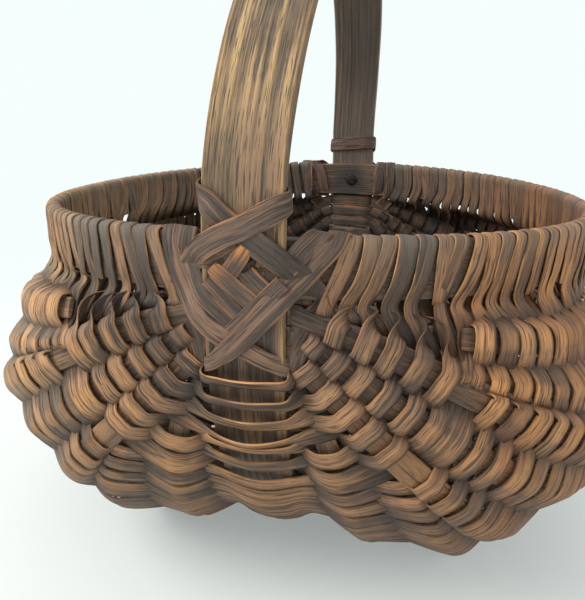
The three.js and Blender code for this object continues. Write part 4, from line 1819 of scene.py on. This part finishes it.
def outer_winding() -> list[Wind]:
    """The splint that is wound round the four arms last.

    It comes up from below the right arm of the rim, crosses the handle, goes behind it,
    comes back across itself to the left arm, round it and down across the spine, behind
    the spine, and up across everything to the right arm.
    """
    out, back = Face.OUT, Face.IN
    return [
        Wind(25.0, -6.0, -4.4, back, 7.0),
        Wind(25.0, -11.4, -1.8, Face.BOTTOM, 7.0),
        Wind(21.5, -5.4, 0.9, out, 7.6),
        Wind(15.4, 1.1, 1.3, out, 8.0),
        Wind(4.4, 9.5, 1.9, out, 8.2),
        Wind(-3.7, 14.5, 1.3, out, 8.2),
        Wind(-10.2, 20.0, 0.8, out, 8.0),
        Wind(-14.4, 23.6, -2.0, Face.LEFT, 7.6),
        Wind(-9.5, 24.6, -4.9, back, 8.0),
        Wind(0.0, 23.6, -5.0, back, 8.0),
        Wind(9.5, 22.8, -4.9, back, 8.0),
        Wind(14.4, 21.8, -2.0, Face.RIGHT, 7.6),
        Wind(10.2, 19.2, 1.0, out, 7.8),
        Wind(1.7, 14.6, 3.0, out, 7.9),
        Wind(-6.4, 10.8, 2.8, out, 7.9),
        Wind(-13.0, 6.6, 1.6, out, 7.6),
        Wind(-18.8, 0.6, 1.1, out, 7.2),
        Wind(-23.0, -5.6, 0.9, out, 7.0),
        Wind(-25.2, -11.4, -1.8, Face.BOTTOM, 6.6),
        Wind(-25.6, -5.0, -4.4, back, 6.8),
        Wind(-25.8, 5.0, -4.4, back, 6.8),
        Wind(-25.6, 11.3, -1.8, Face.TOP, 6.8),
        Wind(-25.0, 7.6, 1.3, out, 7.0),
        Wind(-23.4, -0.6, 2.1, out, 7.0),
        Wind(-20.4, -8.0, 2.0, out, 7.0),
        Wind(-15.4, -15.4, 1.6, out, 7.0),
        Wind(-9.4, -20.6, 1.0, out, 7.0),
        Wind(-1.0, -25.2, 0.9, out, 6.8),
        Wind(8.0, -29.6, 0.8, out, 6.4),
        Wind(14.4, -33.4, -2.0, Face.RIGHT, 6.0),
        Wind(7.0, -35.6, -4.9, back, 6.0),
        Wind(-5.0, -35.8, -4.9, back, 6.0),
        Wind(-14.2, -34.6, -2.0, Face.LEFT, 5.0),
        Wind(-10.0, -31.0, 0.9, out, 5.6),
        Wind(-3.4, -25.2, 2.1, out, 7.6),
        Wind(2.0, -19.6, 2.4, out, 8.0),
        Wind(10.0, -10.6, 2.2, out, 8.0),
        Wind(17.2, -3.2, 2.3, out, 8.0),
        Wind(22.8, 3.0, 2.0, out, 7.8),
        Wind(27.2, 8.2, 1.2, out, 7.4),
        Wind(29.2, 11.4, -1.8, Face.TOP, 7.2),
        Wind(29.4, 4.0, -4.4, back, 7.0),
        Wind(28.6, -8.0, -4.4, back, 6.6),
    ]


def on_face(*places: tuple[float, float, float, float]) -> list[Wind]:
    """A stretch that stays on the outer face, from its places' x, z, level and width."""
    return [Wind(x, z, level, Face.OUT, width) for x, z, level, width in places]


def inner_windings() -> list[list[Wind]]:
    """Stretches of the first winding that show in the diamond and beside the handle."""
    back, bottom, top = Face.IN, Face.BOTTOM, Face.TOP
    return [
        on_face((-19.0, -0.4, 0.9, 6.0), (-9.2, 6.1, 0.9, 6.2), (-1.0, 11.2, 0.7, 6.2)),
        on_face((-18.6, 1.2, 0.7, 5.4), (-12.9, -8.4, 0.7, 5.4), (-4.4, -17.2, 0.7, 5.2)),
        on_face((-11.6, -3.4, 0.6, 4.6), (-6.0, -9.2, 0.6, 4.8), (0.0, -15.0, 0.6, 4.8)),
        on_face((-3.6, -20.2, 1.6, 5.4), (5.0, -11.2, 1.7, 5.4), (13.4, -2.6, 1.6, 5.4)),
        on_face((-4.0, 6.0, 0.6, 5.4), (3.6, -2.6, 0.6, 6.2), (9.4, -7.4, 0.6, 6.2)),
        [Wind(18.0, -11.4, -2.0, bottom, 6.4), Wind(18.1, -7.0, -4.5, back, 6.4),
         Wind(20.5, 4.0, -4.5, back, 6.6), Wind(24.2, 11.2, -1.8, top, 6.6),
         *on_face((20.2, 8.6, 0.9, 6.8), (14.2, 1.6, 0.7, 6.8))],
        [Wind(-18.4, -11.4, -2.0, bottom, 6.4), Wind(-18.5, -7.0, -4.5, back, 6.4),
         Wind(-18.6, 4.0, -4.5, back, 6.6), Wind(-19.8, 11.2, -1.8, top, 6.6),
         *on_face((-20.2, 7.0, 0.9, 6.6), (-20.6, -4.0, 0.6, 6.6))],
    ]


def spine_windings() -> list[list[Wind]]:
    """Turns behind the spine just below the rim, and a stretch on each side of it that
    closes the corner between the spine, the rim and the tips of the ribs.

    Returns:
        The places of each stretch.
    """
    back = Face.IN
    bands = [
        [Wind(-14.3, z, -1.6, Face.LEFT, 6.0), Wind(-10.0, z - 0.3, -4.9, back, 6.7),
         Wind(0.0, z, -5.1, back, 6.8), Wind(10.0, z + 0.4, -4.9, back, 6.7),
         Wind(14.3, z + 0.5, -1.6, Face.RIGHT, 6.0)]
        for z in (-14.6, -21.6, -28.5)
    ]
    corners = [
        on_face((25.0 * side, -12.6, -1.4, 7.6), (21.4 * side, -17.0, 0.6, 8.6),
                (17.6 * side, -24.0, -0.2, 9.2), (14.6 * side, -34.0, -2.0, 7.0))
        for side in (-1.0, 1.0)
    ]
    return bands + corners


def loose_ends() -> list[list[Wind]]:
    """The two cut ends that stand up a little in the middle of the diamond."""
    return [
        on_face((-9.2, 1.4, 2.2, 3.6), (-8.0, 0.2, 2.1, 5.2),
                (-3.2, -4.2, 1.6, 6.0), (4.4, -10.6, 0.9, 6.2)),
        on_face((1.9, 7.9, 1.9, 3.4), (1.0, 6.4, 1.8, 5.0),
                (-2.6, 1.2, 1.4, 5.8), (-6.8, -4.6, 0.8, 5.8)),
    ]


@dataclass
class EarLashing:
    """Splint wound round the cross of handle and rim at one ear."""

    ear: Ear
    thickness: float = 0.95
    width_drift: float = 0.05
    cupped: float = 0.3
    rubbed: float = 0.6
    one_edge_bare: float = 1.3
    bare_tip: float = 4.5
    steps: int = 12
    seed: int = 7
    arch_fall: float = 0.0026
    spine_fall: float = 0.0008

    def depth(self, x: np.ndarray, z: np.ndarray) -> np.ndarray:
        """Distance of the hoops' outer face from the basket's middle at a place.

        It is the handle's or the spine's face, which falls back by the square of the
        height, in the middle, and the rim's face beside it.

        Args:
            x: Distances to the right of the cross's middle.
            z: Heights above it.

        Returns:
            The distances.
        """
        fall = np.where(z > 0.0, self.arch_fall, self.spine_fall)
        on_hoop = SIZES.handle_reach + SIZES.handle_thickness / 2 - fall * z**2
        on_rim = np.sqrt(SIZES.rim_radius**2 - x**2)
        half = SIZES.handle_width / 2
        beside = smoothstep(half - 1.0, half + 7.0, np.abs(x))
        return on_hoop * (1.0 - beside) + on_rim * beside

    def strip(self, winds: Sequence[Wind], rng: np.random.Generator, seed: float,
              tip: float = 0.0) -> Surface:
        """A strip through a list of places, with its face carried square to its path.

        It is worn bare now along one edge and now along the other.

        Args:
            winds: The places.
            rng: Source of its drift in width and of where it is bare.
            seed: Number that tells its grain from another's.
            tip: Length at its start that is worn bare.

        Returns:
            The surface.
        """
        x, z, level, width = np.array([(wind.x, wind.z, wind.level, wind.width) for wind in winds]).T
        faces = np.array([wind.face.value for wind in winds])
        sign = self.ear.value
        places = np.column_stack([-sign * x, sign * (self.depth(x, z) + level), SIZES.ear_z + z])
        facing = np.column_stack([-sign * faces[:, 0], sign * faces[:, 2], faces[:, 1]])
        path = smooth_through(np.column_stack([places, facing, width]), self.steps)
        centres = path[:, :3]
        flow = unit(np.gradient(centres, axis=0))
        facing = square_to(flow, path[:, 3:6])
        along = travelled(centres)
        width = path[:, 6] * (1.0 + self.width_drift * waver(rng, along, 40.0))
        bright = np.clip(self.one_edge_bare * waver(rng, along, 55.0), -1.0, 1.0)
        return sweep(
            centres, np.cross(flow, facing), facing, width, self.thickness, flat_section(0.06, (0.7, 0.2)),
            False, cup=self.cupped, bright=bright, rubbed=self.rubbed, tip=tip, seed=seed,
        )

    def add(self, finishes: dict[Oak, bpy.types.Material]) -> None:
        """Adds the lashing to the scene: the last winding, the first and the loose ends.

        Args:
            finishes: The oak finishes.
        """
        name = self.ear.name.lower()
        rng = np.random.default_rng(self.seed)
        finish = finishes[Oak.LASHING]
        outer = self.strip(outer_winding(), rng, 5.0 + self.seed)
        add_piece(f"{name}_ear_splint", outer, "lashing_oak", finish, [f"{name}_ear_lashing"])
        groups = (("under", inner_windings(), 0.0), ("spine", spine_windings(), 0.0),
                  ("end", loose_ends(), self.bare_tip))
        for group, windings, tip in groups:
            for number, winds in enumerate(windings, start=1):
                surface = self.strip(winds, rng, 11.0 * number + self.seed, tip)
                add_piece(f"{name}_ear_{group}_{number}", surface, "lashing_oak", finish)


@dataclass
class EarNail:
    """Hand-forged nail: its head inside the rim and its clenched point outside.

    Its own x and z are those of a lashing's place, and y runs inwards from the rim's
    inner face.
    """

    ear: Ear
    head_radius: float = 3.9
    head_height: float = 1.3
    head_edge: float = 0.3
    squareness: float = 0.05
    pole: float = 0.02
    shank_radius: float = 1.2
    clench: tuple[float, float] = (5.2, 4.4)
    rings: int = 7
    spokes: int = 24

    def head(self) -> Surface:
        """The head, a low dome struck a little square: r = R (1 + 0.05 cos 4a), with
        its height falling as the square root of 1 - (r / R)^2.

        Returns:
            The surface.
        """
        turn = full_turn(self.spokes)
        struck = self.head_radius * (1.0 + self.squareness * np.cos(4.0 * turn))
        dome = np.clip(np.sin(np.linspace(0.0, math.pi / 2.0, self.rings))[::-1], self.pole, 1.0)
        rise = np.sqrt(np.maximum(1.0 - dome**2, 0.0)) * self.head_height + self.head_edge
        share = np.concatenate([[self.pole, 1.0], dome])[:, None]
        level = np.concatenate([[0.0, 0.0], rise])[:, None] * np.ones(self.spokes)
        radius = struck * share
        return self.placed(np.stack([radius * np.cos(turn), level, radius * np.sin(turn)], -1))

    def placed(self, rings: np.ndarray) -> Surface:
        """Rings in the nail's own axes as a closed surface at its ear.

        Args:
            rings: Points of each ring, the first and the last small.

        Returns:
            The surface.
        """
        points = rings.reshape(-1, 3)
        sign = self.ear.value
        inner = SIZES.rim_radius - SIZES.rim_thickness
        depth = sign * (inner - points[:, 1])
        at = np.column_stack([-sign * points[:, 0], depth, points[:, 2] + SIZES.ear_z])
        faces = tube_faces(rings.shape[0], rings.shape[1], False)
        return Surface(at, faces, at * MM, np.tile([0.0, 1.0, 1.0], (len(at), 1)))

    def shank(self) -> Surface:
        """The shank through both hoops, bent over outside towards the clench. It is a
        round tube along a smooth path, thinner towards the point.

        Returns:
            The surface.
        """
        outside = -SIZES.rim_thickness - SIZES.hoop_gap - SIZES.handle_thickness
        x, z = self.clench
        path = smooth_through(np.array([
            [0.0, 0.4, 0.0, 1.0],
            [0.0, outside + 0.8, 0.0, 1.0],
            [0.12 * x, outside - 0.7, 0.12 * z, 0.95],
            [0.5 * x, outside - 1.0, 0.5 * z, 0.9],
            [x, outside - 0.9, z, 0.5],
        ]), 6)
        flow = unit(np.gradient(path[:, :3], axis=0))
        side = unit(np.cross(flow, np.array([0.5 * z, 0.0, -0.5 * x])))
        other = np.cross(flow, side)
        turn = full_turn(8)
        spokes = side[:, None] * np.cos(turn)[:, None] + other[:, None] * np.sin(turn)[:, None]
        return self.placed(path[:, None, :3] + spokes * (self.shank_radius * path[:, 3])[:, None, None])

    def add(self, iron: bpy.types.Material) -> None:
        """Adds the nail to the scene."""
        name = self.ear.name.lower()
        add_piece(f"{name}_ear_nail_head", self.head(), "nail_iron", iron, [f"{name}_ear_nail"])
        add_piece(f"{name}_ear_nail_point", self.shank(), "nail_iron", iron)


# The studio

@dataclass(frozen=True)
class Lamp:
    """A soft rectangular lamp that looks at the basket. All lengths are in metres."""

    name: str
    place: tuple[float, float, float]
    size: tuple[float, float]
    watts: float
    colour: tuple[float, float, float]
    aim: tuple[float, float, float] = (0.0, 0.0, 0.1)

    def add(self) -> None:
        """Adds the lamp, turned so that its axis meets its aim."""
        light = bpy.data.lights.new(self.name, "AREA")
        light.shape = "RECTANGLE"
        light.size, light.size_y = self.size
        light.energy = self.watts
        light.color = self.colour
        holder = bpy.data.objects.new(self.name, light)
        holder.location = self.place
        to_aim = Vector(self.aim) - holder.location
        holder.rotation_euler = to_aim.to_track_quat("-Z", "Y").to_euler()
        bpy.context.scene.collection.objects.link(holder)


@dataclass
class Studio:
    """Pale floor, soft lamps, white surroundings and the camera.

    The camera's place is in millimetres from the rim's top edge, its angles are in
    degrees, and the floor is in metres.
    """

    camera_place: tuple[float, float, float] = (58.0, -317.0, 41.1)
    yaw: float = 12.57
    pitch: float = -17.16
    roll: float = 0.387
    lens: float = 40.0
    sensor: float = 36.0
    floor_half: float = 4.0
    floor_fade: tuple[float, float] = (0.1, 0.7)
    floor_glow: float = 0.28
    surround: Colour = (245, 254, 253)
    floor_colour: Colour = (231, 237, 234)
    ambient: float = 0.8
    lamps: tuple[Lamp, ...] = (
        Lamp("key_lamp", (-1.25, -0.75, 1.35), (1.1, 1.1), 30.0, (1.0, 0.985, 0.96)),
        Lamp("fill_lamp", (1.5, -0.9, 0.9), (1.2, 1.2), 2.5, (1.0, 0.98, 0.95)),
    )

    def camera(self) -> None:
        """The camera, placed by its own three angles in the frame."""
        yaw, pitch, roll = (math.radians(angle) for angle in (self.yaw, self.pitch, self.roll))
        level = np.array([-math.sin(yaw), math.cos(yaw), 0.0])
        forward = level * math.cos(pitch) + UP * math.sin(pitch)
        right = np.array([math.cos(yaw), math.sin(yaw), 0.0])
        upward = np.cross(right, forward)
        matrix = np.eye(4)
        matrix[:3, 0] = math.cos(roll) * right + math.sin(roll) * upward
        matrix[:3, 1] = math.cos(roll) * upward - math.sin(roll) * right
        matrix[:3, 2] = -forward
        matrix[:3, 3] = np.array(self.camera_place) * MM + UP * RIM_TOP
        data = bpy.data.cameras.new("camera")
        data.lens = self.lens
        data.sensor_width = self.sensor
        data.sensor_fit = "HORIZONTAL"
        data.clip_start = 0.01
        camera = bpy.data.objects.new("camera", data)
        camera.matrix_world = Matrix(matrix.tolist())
        bpy.context.scene.collection.objects.link(camera)
        bpy.context.scene.camera = camera

    def seen_directly(self, board: Board) -> Socket:
        """1 for rays from the camera, a reflection or a pane of glass, else 0."""
        rays = board.node("ShaderNodeLightPath").outputs
        direct = board.math("ADD", rays["Is Camera Ray"], rays["Is Glossy Ray"])
        return board.math("ADD", direct, rays["Is Transmission Ray"], clamp=True)

    def world(self) -> None:
        """Even light from all round, which shows as the pale surround."""
        world = bpy.data.worlds.new("surround")
        world.use_nodes = True
        board = Board(world.node_tree)
        seen = self.seen_directly(board)
        white = tint(255, 255, 255)
        light = board.node("ShaderNodeBackground", {"Color": white, "Strength": self.ambient})
        shown = board.node("ShaderNodeBackground", {"Color": tint(*self.surround), "Strength": 1.0})
        mixed = board.node("ShaderNodeMixShader", {0: seen, 1: light.outputs[0], 2: shown.outputs[0]})
        board.node("ShaderNodeOutputWorld", {"Surface": mixed.outputs[0]})
        bpy.context.scene.world = world

    def floor(self) -> None:
        """The floor, which takes shadows near the basket and fades into the surround."""
        half = self.floor_half
        mesh = bpy.data.meshes.new("floor")
        corners = [(-half, -half, 0.0), (half, -half, 0.0), (half, half, 0.0), (-half, half, 0.0)]
        mesh.from_pydata(corners, [], [(0, 1, 2, 3)])
        made = bpy.data.materials.new("pale_floor")
        board = new_board(made)
        place = board.node("ShaderNodeTexCoord").outputs["Object"]
        away = board.node("ShaderNodeVectorMath", {0: place}, operation="LENGTH").outputs["Value"]
        glow = board.spread(away, *self.floor_fade, self.floor_glow, 1.0)
        matt = board.node("ShaderNodeBsdfPrincipled", {
            "Base Color": tint(*self.floor_colour),
            "Roughness": 0.9,
            "Specular IOR Level": 0.1,
        })
        far = board.node("ShaderNodeEmission", {"Color": tint(*self.surround), "Strength": 1.0})
        shaders = {0: board.times(glow, self.seen_directly(board)), 1: matt.outputs[0], 2: far.outputs[0]}
        mixed = board.node("ShaderNodeMixShader", shaders)
        board.node("ShaderNodeOutputMaterial", {"Surface": mixed.outputs[0]})
        mesh.materials.append(made)
        floor = bpy.data.objects.new("floor", mesh)
        bpy.context.scene.collection.objects.link(floor)

    def add(self) -> None:
        """Adds the camera, the surround, the floor and the lamps."""
        self.camera()
        self.world()
        self.floor()
        for lamp in self.lamps:
            lamp.add()
        bpy.context.scene.view_settings.view_transform = "Standard"


def main() -> None:
    """Builds the basket and its studio."""
    logging.basicConfig(level=logging.INFO, format="%(name)s: %(message)s")
    effects = {
        "split_grain": SplitGrain().tree(),
        "patina": PatinaAndPaintedLight().tree(),
        "worn_edge": WornEdge().tree(),
    }
    finishes = {oak: oak.value.material(effects) for oak in Oak}
    rng = np.random.default_rng(12)
    skeleton = Skeleton()
    weave = Weave(skeleton)
    Hoops(skeleton).add(finishes, rng)
    Ribs(skeleton, weave).add(finishes, rng)
    weave.add(finishes)
    iron = IronFinish().material()
    for ear in Ear:
        EarLashing(ear).add(finishes)
        EarNail(ear).add(iron)
    Studio().add()


if __name__ == "__main__":
    main()
